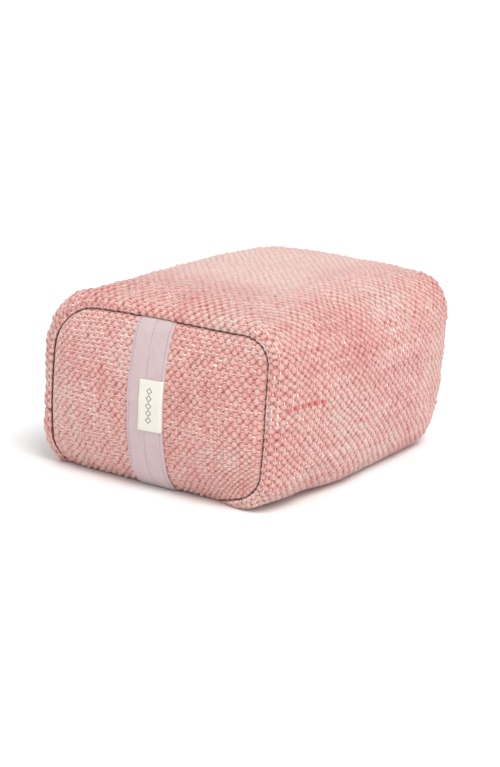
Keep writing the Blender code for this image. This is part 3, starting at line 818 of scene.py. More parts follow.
# %% Sampling of the strip
def yarn_samples():
    """Positions round the girth, in yarns.

    There are three to a yarn on the right side and the top, two on the zip's side, and one to every
    two yarns underneath."""
    edges = PIECE_ENDS / YARN
    runs = [(0.0, edges[1], 2), (edges[1], edges[2], 2), (edges[2], edges[3] - 4, 0.5),
            (edges[3] - 4, edges[8], 3), (edges[8], edges[9], 2)]
    samples = []
    for low, high, fineness in runs:
        samples += [k / fineness for k in range(math.ceil(low * fineness), math.ceil(high * fineness))]
    return np.array(samples + [GIRTH / YARN])


def thin_out(count, step):
    """Every step-th index, with the last one always kept."""
    picked = list(range(0, count, step))
    if picked[-1] != count - 1:
        picked.append(count - 1)
    return picked


# %% [markdown]
# ## Cotton yarn, cream thread and shadowed holes
#
# The cover's material reads the same counting of yarns and picks that made the bumps. Turned by 45
# degrees, the bumps form a square lattice, and a Voronoi texture with no randomness then gives two
# things at once: how far a point is from its bump's middle, and a random value for each bump. A second
# lattice, shifted by half a step, finds the places between bumps where the cream thread shows.
#
# The yarn is hand-dyed, so its pink drifts between salmon and rose from yarn to yarn and along each
# yarn, with a rare red, grey or yellow fibre spun in. Cotton has no gloss: roughness is near 1, with a faint
# sheen from loose fibres that catches the light at grazing angles. Some light and shade is painted into the
# colour as well: painted shade in the holes and on one flank of every bump, a painted highlight on the
# bump tops, and a paler top of the strip that stands in for its sheen.

# %% Woven cotton material
ROSE = "dd9896"
SALMON = "e9b0a8"
PALE = "e6c9bf"
CREAM = "eee6de"
# the painted shade colour of the holes between bumps
HOLE_SHADE = "66292a"
DASH_WIDTH = 0.36  # half the width of a cream dash in yarns
DASH_HEIGHT = 0.14  # half its height in picks
RED_PLACE = "d9696c"
RED_YARN = "dd7273"
# the painted highlight colour on the tops of the bumps
CROWN_HIGHLIGHT = "e8dbd2"
# the pale colour painted over the top of the strip in place of the sheen it catches
TOP_SHEEN_COLOUR = "f2dcd4"
SEAM_SHADOW = "542624"
# how much the painted shade on the bumps' flanks darkens and reddens the colour
FLANK_SHADE_TINT = (0.84, 0.65, 0.62)
TWIST = math.radians(-24)  # how the fibres lie across the yarn
ON_EDGE = (0.5, 0.5, 0.0)  # half a step of the lattice both ways

# The stretch painted paler over the top, for the whitish sheen the top catches at a grazing angle: round the
# girth, in yarns, and along the brick, in picks from its middle.
TOP_SHEEN_FROM = PIECE_ENDS[5] / YARN + 5
TOP_SHEEN_TO = PIECE_ENDS[6] / YARN + 14
TOP_SHEEN_OUT = PIECE_ENDS[7] / YARN + 4
TOP_SHEEN_END = PIECE_ENDS[8] / YARN + 3
TOP_SHEEN_FRONT = (-30.0, -8.0)


def woven_cotton(name, seed, top_sheen_share, slant, red_stretch=None):
    """Thick hand-woven cotton: matt, plump pink yarns with flecks of cream thread between them."""
    made, tree = new_material(name)
    uv = node(tree, "UVMap", uv_map="weave")["UV"]
    wobble = node(tree, "TexNoise", {"Vector": uv, "Scale": 1.3, "Detail": 3.0}, noise_dimensions="2D")
    wobble = node(tree, "VectorMath", {0: wobble["Color"], 1: (0.5, 0.5, 0.5)}, operation="SUBTRACT")
    wobble = node(tree, "VectorMath", {0: wobble[0], "Scale": 0.42}, operation="SCALE")
    bent = node(tree, "VectorMath", {0: uv, 1: wobble[0]}, operation="ADD")[0]
    turned_x = node(tree, "VectorMath", {0: bent, 1: ON_EDGE}, operation="DOT_PRODUCT")["Value"]
    turned_y = node(tree, "VectorMath", {0: bent, 1: (0.5, -0.5, 0.0)}, operation="DOT_PRODUCT")["Value"]
    lattice = node(tree, "CombineXYZ", {0: turned_x, 1: turned_y})[0]
    bumps = node(tree, "TexVoronoi", {"Vector": lattice, "Scale": 1.0, "Randomness": 0.0},
                 voronoi_dimensions="2D")
    between = node(tree, "VectorMath", {0: lattice, 1: ON_EDGE}, operation="ADD")[0]
    dashes = node(tree, "TexVoronoi", {"Vector": between, "Scale": 1.0, "Randomness": 0.0},
                  voronoi_dimensions="2D")

    # Cream thread: a short dash across the yarns, in the holes of the second lattice.
    local = node(tree, "VectorMath", {0: between, 1: dashes["Position"]}, operation="SUBTRACT")[0]
    squares = []
    for direction, reach in (((1.0, 1.0, 0.0), DASH_WIDTH), ((1.0, -1.0, 0.0), DASH_HEIGHT)):
        off = node(tree, "VectorMath", {0: local, 1: direction}, operation="DOT_PRODUCT")["Value"]
        off = node(tree, "Math", {0: off, 1: reach}, operation="DIVIDE")[0]
        squares.append(node(tree, "Math", {0: off, 1: 2.0}, operation="POWER")[0])
    dash = node(tree, "Math", {0: squares[0], 1: squares[1]}, operation="ADD")[0]
    dash_luck = node(tree, "SeparateColor", {0: dashes["Color"]})
    show_more = node(tree, "TexNoise", {"Vector": uv, "Scale": 0.07, "Detail": 2.0},
                     noise_dimensions="2D")["Fac"]
    show_more = node(tree, "MapRange", {"Value": show_more, "From Min": 0.35, "From Max": 0.65,
                                        "To Min": 0.45, "To Max": 1.5})[0]
    dash_size = node(tree, "MapRange", {"Value": dash_luck["Red"], "To Min": 0.1, "To Max": 1.7})[0]
    dash_size = node(tree, "Math", {0: dash_size, 1: show_more}, operation="MULTIPLY")[0]
    dash = node(tree, "Math", {0: dash, 1: dash_size}, operation="DIVIDE")[0]
    cream_mask = node(tree, "MapRange", {"Value": dash, "From Min": 1.2, "From Max": 0.6})[0]

    # Dark holes: painted shade far from every bump's middle, where the gaps between the yarns lie in shadow.
    frayed = node(tree, "TexNoise", {"Vector": uv, "Scale": 2.6, "Detail": 3.0}, noise_dimensions="2D")["Fac"]
    frayed = node(tree, "MapRange", {"Value": frayed, "To Min": -0.17, "To Max": 0.17})[0]
    lean = node(tree, "VectorMath", {0: lattice, 1: bumps["Position"]}, operation="SUBTRACT")[0]
    shape = (1 - 1.3 * slant, 1 + 0.5 * slant, 0.0)
    oval = node(tree, "VectorMath", {0: lean, 1: shape}, operation="MULTIPLY")[0]
    oval = node(tree, "VectorMath", {0: oval}, operation="LENGTH")["Value"]
    far_off = node(tree, "Math", {0: oval, 1: frayed}, operation="ADD")[0]
    painted_hole_shade = node(tree, "MapRange", {"Value": far_off, "From Min": 0.45, "From Max": 0.60},
                interpolation_type="SMOOTHSTEP")[0]

    # Dye: random by bump, by yarn, and in long drifts.
    luck = node(tree, "SeparateColor", {0: bumps["Color"]})
    stretched = node(tree, "Mapping", {"Vector": uv, "Scale": (0.9, 0.045, 1.0),
                                       "Location": (seed * 7.3, seed * 3.1, 0.0)})[0]
    by_yarn = node(tree, "TexNoise", {"Vector": stretched, "Scale": 1.0, "Detail": 2.0, "Roughness": 0.6},
                   noise_dimensions="2D")["Fac"]
    drift = node(tree, "TexNoise", {"Vector": uv, "Scale": 0.045, "Detail": 2.0},
                 noise_dimensions="2D")["Fac"]
    strands = node(tree, "Mapping", {"Vector": uv, "Rotation": (0.0, 0.0, TWIST),
                                     "Scale": (3.4, 1.1, 1.0)})[0]
    strands = node(tree, "TexNoise", {"Vector": strands, "Scale": 1.0, "Detail": 3.0, "Roughness": 0.7},
                   noise_dimensions="2D")["Fac"]
    tone = node(tree, "Math", {0: by_yarn, 1: drift}, operation="ADD")[0]
    tone = node(tree, "MapRange", {"Value": tone, "From Min": 0.66, "From Max": 1.34})[0]
    tone = node(tree, "Mix", {"Factor": 0.25, "A": tone, "B": luck["Green"]})[0]
    tone = node(tree, "Mix", {"Factor": 0.40, "A": tone, "B": strands})[0]
    dye = node(tree, "ValToRGB", {"Fac": tone})
    ramp = tree.nodes[-1].color_ramp
    ramp.elements[0].position = 0.25
    ramp.elements[0].color = linear(ROSE)
    ramp.elements[1].position = 0.78
    ramp.elements[1].color = linear(PALE)
    middle = ramp.elements.new(0.5)
    middle.color = linear(SALMON)
    colour = dye["Color"]

    # Rare red places, one long red stretch of yarn, and flecks of odd fibre.
    red = node(tree, "MapRange", {"Value": by_yarn, "From Min": 0.74, "From Max": 0.79})[0]
    red_break = node(tree, "MapRange", {"Value": luck["Blue"], "From Min": 0.1, "From Max": 0.7})[0]
    red = node(tree, "Math", {0: red, 1: red_break}, operation="MULTIPLY")[0]
    colour = node(tree, "MixRGB", {"Fac": red, "Color1": colour, "Color2": linear(RED_PLACE)})["Color"]
    if red_stretch is not None:
        red_yarn, red_from, red_to = red_stretch
        counted = node(tree, "SeparateXYZ", {0: bent})
        beside = node(tree, "Math", {0: counted["X"], 1: red_yarn}, operation="SUBTRACT")[0]
        beside = node(tree, "Math", {0: beside}, operation="ABSOLUTE")[0]
        on_yarn = node(tree, "MapRange", {"Value": beside, "From Min": 0.55, "From Max": 0.3})[0]
        after = node(tree, "Math", {0: counted["Y"], 1: red_from}, operation="GREATER_THAN")[0]
        before = node(tree, "Math", {0: counted["Y"], 1: red_to}, operation="LESS_THAN")[0]
        stretch = on_yarn
        for part in (after, before):
            stretch = node(tree, "Math", {0: stretch, 1: part}, operation="MULTIPLY")[0]
        colour = node(tree, "MixRGB", {"Fac": stretch, "Color1": colour, "Color2": linear(RED_YARN)})["Color"]
    specks = node(tree, "TexVoronoi", {"Vector": uv, "Scale": 0.55, "Randomness": 1.0},
                  voronoi_dimensions="2D")
    speck_luck = node(tree, "SeparateColor", {0: specks["Color"]})
    speck_here = node(tree, "Math", {0: specks["Distance"], 1: 0.10}, operation="LESS_THAN")[0]
    speck_rare = node(tree, "Math", {0: speck_luck["Red"], 1: 0.95}, operation="GREATER_THAN")[0]
    speck = node(tree, "Math", {0: speck_here, 1: speck_rare}, operation="MULTIPLY")[0]
    speck_kind = node(tree, "ValToRGB", {"Fac": speck_luck["Green"]})
    kinds = tree.nodes[-1].color_ramp
    kinds.interpolation = "CONSTANT"
    kinds.elements[0].color = linear("7d7aa8")
    kinds.elements[1].position = 0.35
    kinds.elements[1].color = linear("8c7f78")
    yellow = kinds.elements.new(0.7)
    yellow.color = linear("dcc27a")
    colour = node(tree, "MixRGB", {"Fac": speck, "Color1": colour, "Color2": speck_kind["Color"]})["Color"]

    # Fibres: fine streaks along the yarn that slant with its twist.
    twist = node(tree, "Mapping", {"Vector": uv, "Rotation": (0.0, 0.0, TWIST),
                                   "Scale": (5.2, 1.5, 1.0)})[0]
    fibres = node(tree, "TexNoise", {"Vector": twist, "Scale": 1.6, "Detail": 5.0, "Roughness": 0.7},
                  noise_dimensions="2D")["Fac"]
    fibre_tone = node(tree, "MapRange", {"Value": fibres, "From Min": 0.3, "From Max": 0.7, "To Min": 0.76,
                                         "To Max": 1.16})[0]
    colour = node(tree, "VectorMath", {0: colour, "Scale": fibre_tone}, operation="SCALE")[0]

    # The yarn's flanks: painted shade. Cotton deep between bumps is lit only by pink light, so the painted
    # shade is redder; it darkens towards the edge of every bump, and more on one side of it, as if the light
    # came from the other side.
    lean = node(tree, "VectorMath", {0: lean, 1: (-0.55, 0.10, 0.0)}, operation="DOT_PRODUCT")["Value"]
    painted_flank_shade = node(tree, "Math", {0: far_off, 1: lean}, operation="ADD")[0]
    painted_flank_shade = node(tree, "MapRange", {"Value": painted_flank_shade, "From Min": 0.20, "From Max": 0.58},
                 interpolation_type="SMOOTHSTEP")[0]
    flank_shade_colour = node(tree, "VectorMath", {0: colour, 1: FLANK_SHADE_TINT}, operation="MULTIPLY")[0]
    colour = node(tree, "MixRGB", {"Fac": painted_flank_shade, "Color1": colour, "Color2": flank_shade_colour})["Color"]
    # Painted highlight: the top of every bump is mixed towards a pale cream, where the light catches it most.
    painted_crown_highlight = node(tree, "Math", {0: bumps["Distance"], 1: fibres}, operation="SUBTRACT")[0]
    painted_crown_highlight = node(tree, "MapRange", {"Value": painted_crown_highlight, "From Min": -0.30, "From Max": -0.62, "To Max": 0.40})[0]
    colour = node(tree, "MixRGB", {"Fac": painted_crown_highlight, "Color1": colour, "Color2": linear(CROWN_HIGHLIGHT)})["Color"]
    # Painted shade in the holes, with the cream thread laid over it next.
    hole_shade_colour = node(tree, "MixRGB", {"Fac": 0.8, "Color1": colour, "Color2": linear(HOLE_SHADE)})["Color"]
    colour = node(tree, "MixRGB", {"Fac": painted_hole_shade, "Color1": colour, "Color2": hole_shade_colour})["Color"]
    colour = node(tree, "MixRGB", {"Fac": cream_mask, "Color1": colour, "Color2": linear(CREAM)})["Color"]

    # The top of the strip is painted paler: a painted sheen for the whitish light it catches at a grazing
    # angle.
    where = node(tree, "SeparateXYZ", {0: uv})
    on_top = node(tree, "MapRange", {"Value": where["X"], "From Min": TOP_SHEEN_FROM, "From Max": TOP_SHEEN_TO},
                  interpolation_type="SMOOTHSTEP")[0]
    off_side = node(tree, "MapRange", {"Value": where["X"], "From Min": TOP_SHEEN_END, "From Max": TOP_SHEEN_OUT},
                    interpolation_type="SMOOTHSTEP")[0]
    off_end = node(tree, "MapRange", {"Value": where["Y"], "From Min": TOP_SHEEN_FRONT[0],
                                      "From Max": TOP_SHEEN_FRONT[1]},
                   interpolation_type="SMOOTHSTEP")[0]
    painted_top_sheen = on_top
    for share in (off_end, off_side, top_sheen_share):
        painted_top_sheen = node(tree, "Math", {0: painted_top_sheen, 1: share}, operation="MULTIPLY")[0]
    colour = node(tree, "MixRGB", {"Fac": painted_top_sheen, "Color1": colour, "Color2": linear(TOP_SHEEN_COLOUR)})["Color"]

    # The seam: cloth that turns into it lies in its own shadow.
    seam_map = node(tree, "SeparateXYZ", {0: node(tree, "UVMap", uv_map="from_seam")["UV"]})["X"]
    ragged = node(tree, "Math", {0: frayed, 1: 2.4}, operation="MULTIPLY")[0]
    seam_map = node(tree, "Math", {0: seam_map, 1: ragged}, operation="ADD")[0]
    in_seam = node(tree, "MapRange", {"Value": seam_map, "From Min": 0.55, "From Max": 0.0, "To Max": 0.85},
                   interpolation_type="SMOOTHSTEP")[0]
    colour = node(tree, "MixRGB", {"Fac": in_seam, "Color1": colour, "Color2": linear(SEAM_SHADOW)})["Color"]

    # Small relief on top of the real bumps: the fibres and the thin thread.
    thread_rise = node(tree, "Math", {0: cream_mask, 1: 0.5}, operation="MULTIPLY")[0]
    relief = node(tree, "Math", {0: fibres, 1: thread_rise}, operation="ADD")[0]
    bump = node(tree, "Bump", {"Strength": 0.6, "Distance": 0.4 * MM, "Height": relief})["Normal"]
    rough = node(tree, "MapRange", {"Value": fibres, "To Min": 0.86, "To Max": 1.0})[0]
    shader = node(tree, "BsdfPrincipled", {
        "Base Color": colour,
        "Roughness": rough,
        "Specular IOR Level": 0.12,
        "Sheen Weight": 1.0,
        "Sheen Roughness": 0.32,
        "Sheen Tint": linear("fff2ee"),
        "Normal": bump,
    })
    finish_material(tree, shader["BSDF"])
    return made


RED_HEIGHT = 58 * MM
RED_PICKS = (-31.5, -20.5)  # where the red stretch starts and ends, counted from the brick's middle
red_yarn = (PIECE_ENDS[4] + RED_HEIGHT - BOTTOM_RIGHT_CORNER) / YARN
# The strip's material paints half of the paler top sheen, the ends' material none.
cotton_strip = woven_cotton("hand_woven_pink_cotton", 1, 0.5, 0.0, (round(red_yarn), *RED_PICKS))
cotton_ends = woven_cotton("hand_woven_pink_cotton_ends", 2, 0.0, END_SLANT)
print("materials:", [cotton_strip.name, cotton_ends.name])

# %% [markdown]
# ## Weaving the strip
#
# Now the strip's fine grid. Its yarns wander a little, as hand-woven yarns do, so points slide on the
# surface before they are lifted by the height of the weave. Near the seams and the zip the yarns are
# pressed flat by the sewing.

# %% The wrap
LIP_RUN = 2.0 * MM
LIP_DEPTH = 1.2 * MM


def lip_tuck(around, y):
    """How far the cloth has turned in at its two edges along the zip."""
    edge = np.minimum(around, GIRTH - around)
    turned = np.clip(1 - edge / LIP_RUN, 0, 1)
    opened = (slot_width(y) - SEAM_SLOT) / (ZIP_SLOT - SEAM_SLOT)
    return LIP_DEPTH * (0.35 + 0.65 * opened) * (1 - np.sqrt(1 - turned ** 2))


def weave_strip():
    yarns = yarn_samples()
    per_pick = 3
    half_picks = int(HALF_STRIP / PICK * per_pick)
    picks = np.arange(-half_picks, half_picks + 1) / per_pick
    yarn, pick = np.meshgrid(yarns, picks, indexing="ij")
    around = yarn * YARN
    along = pick * PICK
    inner_edge = smoothstep(0, 8 * MM, np.minimum(around, GIRTH - around))
    inner_end = smoothstep(0, 8 * MM, HALF_STRIP - np.abs(along))
    slide = 0.7 * MM * inner_edge * inner_end
    around = around + slide * uneven(11, pick / 9, yarn / 3, 1.0)
    along = along + slide * 1.3 * uneven(12, yarn / 14, pick / 4, 1.0)
    base = strip_surface(around, along)
    free = smoothstep(0.0, 4 * MM, HALF_STRIP - TUCK_RUN - TUCK_DEPTH - np.abs(along))
    base = base + strip_settle(around, along) * free[..., None]
    normal = -normals_of(base)
    above_floor = smoothstep(1 * MM, 8 * MM, base[..., 2])
    swell = 0.5 * MM * uneven(21, around, along, 34 * MM) + 0.25 * MM * uneven(22, around, along, 13 * MM)
    pucker = 0.3 * MM * uneven(23, around, along * 0.2, 9 * MM)
    near_seam = smoothstep(16 * MM, 3 * MM, HALF_STRIP - np.abs(along)) * smoothstep(
        2 * MM, 6 * MM, HALF_STRIP - np.abs(along))
    base = base + normal * ((swell + pucker * near_seam) * above_floor * inner_edge * inner_end)[..., None]
    pressed = 0.35 + 0.65 * smoothstep(1.5 * MM, 6 * MM, HALF_STRIP - np.abs(along))
    near_lip = smoothstep(0, 3.5 * MM, np.minimum(around, GIRTH - around))
    pressed = pressed * (0.4 + 0.6 * near_lip) * (0.3 + 0.7 * above_floor)
    height = bump_height(yarn, pick) * yarn_size(yarn, pick + half_picks / per_pick, 31) * RELIEF * pressed
    sunk = -RELIEF * 0.5 * pressed - lip_tuck(around, base[..., 1] - CENTRE_Y)
    outer = base + normal * (height + sunk)[..., None]
    outer[..., 2] = np.maximum(outer[..., 2], 0.0)
    inner = base - normal * CLOTH
    inner[..., 2] = np.maximum(inner[..., 2], CLOTH)
    uv = np.stack([yarn, pick], axis=-1)
    every = (thin_out(len(yarns), 12), thin_out(len(picks), 9))
    from_seam = (FLAT_RUN + ROLL_RUN + 0.6 * TUCK_RUN - np.abs(along)) / MM
    return sheet_mesh("wrap_cloth", outer, inner, uv, every, from_seam=from_seam)


wrap = place_piece("wrap_cloth", weave_strip(), cotton_strip, "cushion", ["wrap_panel"])
print("wrap faces:", len(wrap.data.polygons))

# %% [markdown]
# ## Weaving the end panels
#
# On the ends the yarns stand upright. Vertices are again placed on every crossing, and where a row
# would reach past the rounded outline its points are pulled back onto the outline and merged. That
# leaves doubled slivers of cloth on the rim, in the seam. Under the strap the front panel's bumps are
# pressed flatter.

# %% The ends
STRAP_LOW, STRAP_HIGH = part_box("handle_strap")
STRAP_MIDDLE = (STRAP_LOW.x + STRAP_HIGH.x) / 2 - CENTRE_X + 0.1 * MM
STRAP_HALF = (STRAP_HIGH.x - STRAP_LOW.x) / 2 - 1.15 * MM


def weave_end(name, facing, seed):
    per_yarn, per_pick = 5, 4
    heights = np.linspace(PANEL_LOW, PANEL_HIGH, 300)
    profile = panel_surface(np.zeros(len(heights)), heights, facing)
    walked = np.concatenate([[0], np.cumsum(np.linalg.norm(np.diff(profile, axis=0), axis=1))])
    waist = np.interp(PANEL_MIDDLE, heights, walked)
    wide = int(PANEL_HALF_WIDTH / PANEL_YARN * per_yarn) + 1
    tall = int(max(waist, walked[-1] - waist) / PANEL_PICK * per_pick) + 1
    columns = np.arange(-wide, wide + 1) / per_yarn
    rows = np.arange(-tall, tall + 1) / per_pick
    yarn, pick = np.meshgrid(columns, rows, indexing="ij")
    z = np.interp(waist + pick * PANEL_PICK, walked, heights)
    x = np.clip(yarn * PANEL_YARN, -panel_reach(False, z), panel_reach(True, z))
    calm = smoothstep(0, 8 * MM, rim_distance(x, z))
    x = x + 0.7 * MM * calm * uneven(seed, pick / 6, yarn / 2.5, 1.0)
    z = z + 0.7 * MM * calm * uneven(seed + 1, yarn / 9, pick / 2.5, 1.0)
    base = panel_surface(x, z, facing)
    rim = rim_distance(x, z)
    base = base + panel_settle(x, z, facing) * smoothstep(0, 5 * MM, rim)[..., None]
    swell = 0.45 * MM * uneven(seed + 2, x, z, 30 * MM) + 0.2 * MM * uneven(seed + 3, x, z, 12 * MM)
    base[..., 1] += facing * swell * calm
    fine = normals_of(base) * -facing
    normal = np.where(rim[..., None] < 0.15 * MM, np.array([0.0, facing, 0.0]), fine)
    pressed = 0.45 + 0.55 * smoothstep(0.5 * MM, 5 * MM, rim)
    if facing < 0:
        off_strap = np.abs(x - STRAP_MIDDLE) - STRAP_HALF
        pressed = pressed * (0.35 + 0.65 * smoothstep(-1.5 * MM, 0.5 * MM, off_strap))
    plump = yarn_size(yarn + wide, pick + tall, seed + 4)
    height = bump_height(yarn, pick, END_SLANT) * plump * RELIEF * pressed
    outer = base + normal * (height - RELIEF * 0.5 * pressed)[..., None]
    inner = base - normal * CLOTH
    outer[..., 2] = np.maximum(outer[..., 2], 0.0)
    uv = np.stack([yarn, pick], axis=-1)
    every = (thin_out(len(columns), 10), thin_out(len(rows), 8))
    return sheet_mesh(name, outer, inner, uv, every, merge=0.02 * MM, from_seam=rim / MM - 0.1)


for end_name, node_name, facing, seed in (("front_end_cloth", "front_end_panel", -1, 41),
                                          ("rear_end_cloth", "rear_end_panel", 1, 61)):
    end = place_piece(end_name, weave_end(end_name, facing, seed), cotton_ends, "cushion", [node_name])
    print(end_name, "faces:", len(end.data.polygons))

# %% [markdown]
# ## Small plain materials
#
# Tape, label, thread, zip and filling each get a simple finish of their own. Woven ones carry a fine
# grid of threads from two wave textures. Their maps count millimetres, so scales are real sizes.

# %% Materials for the small parts
def wave_scale(pitch):
    """The scale of a wave texture whose bands are a pitch apart: it repeats every 2 pi / 20 at scale 1."""
    return 1 / pitch / 20 * 2 * math.pi


def plain_weave(name, hex_light, hex_dark, pitch, roughness=0.9, sheen=0.15, mottle=0.5):
    """Fine woven tape or cloth, from a map in millimetres; pitch is its thread spacing in mm."""
    made, tree = new_material(name)
    uv = node(tree, "UVMap", uv_map="weave")["UV"]
    across, along = [
        node(tree, "TexWave", {"Vector": uv, "Scale": wave_scale(pitch), "Distortion": 0.6, "Detail": 2.0},
             bands_direction=way)["Fac"] for way in ("X", "Y")
    ]
    threads = node(tree, "Math", {0: across, 1: along}, operation="MULTIPLY")[0]
    clouds = node(tree, "TexNoise", {"Vector": uv, "Scale": 0.22, "Detail": 5.0},
                  noise_dimensions="2D")["Fac"]
    tone = node(tree, "Mix", {"Factor": mottle, "A": threads, "B": clouds})[0]
    colour = node(tree, "MixRGB", {"Fac": tone, "Color1": linear(hex_dark), "Color2": linear(hex_light)})
    bump = node(tree, "Bump", {"Strength": 0.35, "Distance": 0.15 * MM, "Height": threads})["Normal"]
    shader = node(tree, "BsdfPrincipled", {
        "Base Color": colour["Color"], "Roughness": roughness, "Specular IOR Level": 0.2,
        "Sheen Weight": sheen, "Sheen Roughness": 0.5, "Normal": bump,
    })
    finish_material(tree, shader["BSDF"])
    return made


def soft_solid(name, hex_light, hex_dark, scale, roughness=0.95):
    """A matt cloudy material for thread, wadding and foam."""
    made, tree = new_material(name)
    place = node(tree, "TexCoord")["Object"]
    clouds = node(tree, "TexNoise", {"Vector": place, "Scale": scale, "Detail": 4.0})["Fac"]
    colour = node(tree, "MixRGB", {"Fac": clouds, "Color1": linear(hex_dark), "Color2": linear(hex_light)})
    shader = node(tree, "BsdfPrincipled", {"Base Color": colour["Color"], "Roughness": roughness,
                                           "Specular IOR Level": 0.2})
    finish_material(tree, shader["BSDF"])
    return made


def brushed_metal(name, hex_colour):
    """Nickel-plated zinc of a zip slider: a clean metal with a soft, slightly uneven shine."""
    made, tree = new_material(name)
    place = node(tree, "TexCoord")["Object"]
    scuffs = node(tree, "TexNoise", {"Vector": place, "Scale": 900.0, "Detail": 3.0})["Fac"]
    rough = node(tree, "MapRange", {"Value": scuffs, "To Min": 0.24, "To Max": 0.42})[0]
    shader = node(tree, "BsdfPrincipled", {"Base Color": linear(hex_colour), "Metallic": 1.0,
                                           "Roughness": rough})
    finish_material(tree, shader["BSDF"])
    return made


strap_tape = plain_weave("lilac_cotton_tape", "dcc6c7", "c5afb0", 0.45)
zip_cloth = plain_weave("pink_zip_tape", "d9a6a0", "b9817d", 0.6)
calico_cloth = plain_weave("calico", "f0e8d8", "ded3bf", 0.7)
lilac_thread = soft_solid("lilac_thread", "b7a2c0", "a48fb2", 800.0)
rose_thread = soft_solid("rose_thread", "b0706c", "8d5150", 800.0)
cream_thread = soft_solid("cream_thread", "efe8da", "d8cfbd", 800.0)
coil_nylon = soft_solid("nylon_zip_coil", "dba49e", "c88f8a", 500.0, 0.45)
nickel = brushed_metal("nickel_plated_zinc", "c9c5bd")
wadding_fill = soft_solid("polyester_wadding", "f4f2ee", "e4e1da", 60.0)
foam_fill = soft_solid("dense_foam", "e9e4d6", "d6cfbd", 400.0)


# %% Label material
def woven_label(name):
    """A cream damask label. Its only figure is a column of small plain lozenges in grey thread."""
    made, tree = new_material(name)
    uv = node(tree, "UVMap", uv_map="weave")["UV"]
    parts = node(tree, "SeparateXYZ", {0: uv})
    ribs = node(tree, "TexWave", {"Vector": uv, "Scale": wave_scale(LABEL_RIB), "Distortion": 0.4},
                bands_direction="Y")["Fac"]
    across = node(tree, "Math", {0: parts["X"], 1: LABEL_FIGURE_X}, operation="SUBTRACT")[0]
    across = node(tree, "Math", {0: across}, operation="ABSOLUTE")[0]
    step = node(tree, "Math", {0: parts["Y"], 1: LABEL_FIGURE_STEP}, operation="PINGPONG")[0]
    half = node(tree, "Math", {0: step, 1: LABEL_FIGURE_STEP * 0.5}, operation="SUBTRACT")[0]
    half = node(tree, "Math", {0: half}, operation="ABSOLUTE")[0]
    edge = node(tree, "Math", {0: across, 1: half}, operation="ADD")[0]
    outline = node(tree, "Math", {0: edge, 1: LABEL_FIGURE_STEP * 0.42}, operation="SUBTRACT")[0]
    outline = node(tree, "Math", {0: outline}, operation="ABSOLUTE")[0]
    figure = node(tree, "MapRange", {"Value": outline, "From Min": 0.38, "From Max": 0.22})[0]
    for limit, side in ((LABEL_MARGIN, "GREATER_THAN"), (LABEL_TALL / MM - LABEL_MARGIN, "LESS_THAN")):
        inside = node(tree, "Math", {0: parts["Y"], 1: limit}, operation=side)[0]
        figure = node(tree, "Math", {0: figure, 1: inside}, operation="MULTIPLY")[0]
    ground = node(tree, "MixRGB", {"Fac": ribs, "Color1": linear("e6dfd3"), "Color2": linear("f3efe6")})
    colour = node(tree, "MixRGB", {"Fac": figure, "Color1": ground["Color"], "Color2": linear("6d6968")})
    bump = node(tree, "Bump", {"Strength": 0.3, "Distance": 0.1 * MM, "Height": ribs})["Normal"]
    shader = node(tree, "BsdfPrincipled", {"Base Color": colour["Color"], "Roughness": 0.8,
                                           "Specular IOR Level": 0.25, "Sheen Weight": 0.1, "Normal": bump})
    finish_material(tree, shader["BSDF"])
    return made


LABEL_LOW, LABEL_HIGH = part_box("label")
LABEL_WIDE = LABEL_HIGH.x - LABEL_LOW.x
LABEL_TALL = LABEL_HIGH.z - LABEL_LOW.z
LABEL_FIGURE_X = LABEL_WIDE / MM * 0.45
LABEL_FIGURE_STEP = 3.9
LABEL_MARGIN = 4.0  # in mm, kept free of figures at the top and the foot
LABEL_RIB = 0.32  # in mm, from rib to rib
LABEL_RISE = 2.3 * MM
label_cloth = woven_label("cream_damask_label")

# %% [markdown]
# ## Stitches
#
# A machine stitch shows as a row of small, plump capsules of thread that dive into the cloth at both
# ends. One function lays them along any path: it walks the path by length, and gives each stitch a
# tube that is thickest and highest in its middle.

# %% Stitch builder
STITCH_RINGS = 5
STITCH_SIDES = 6


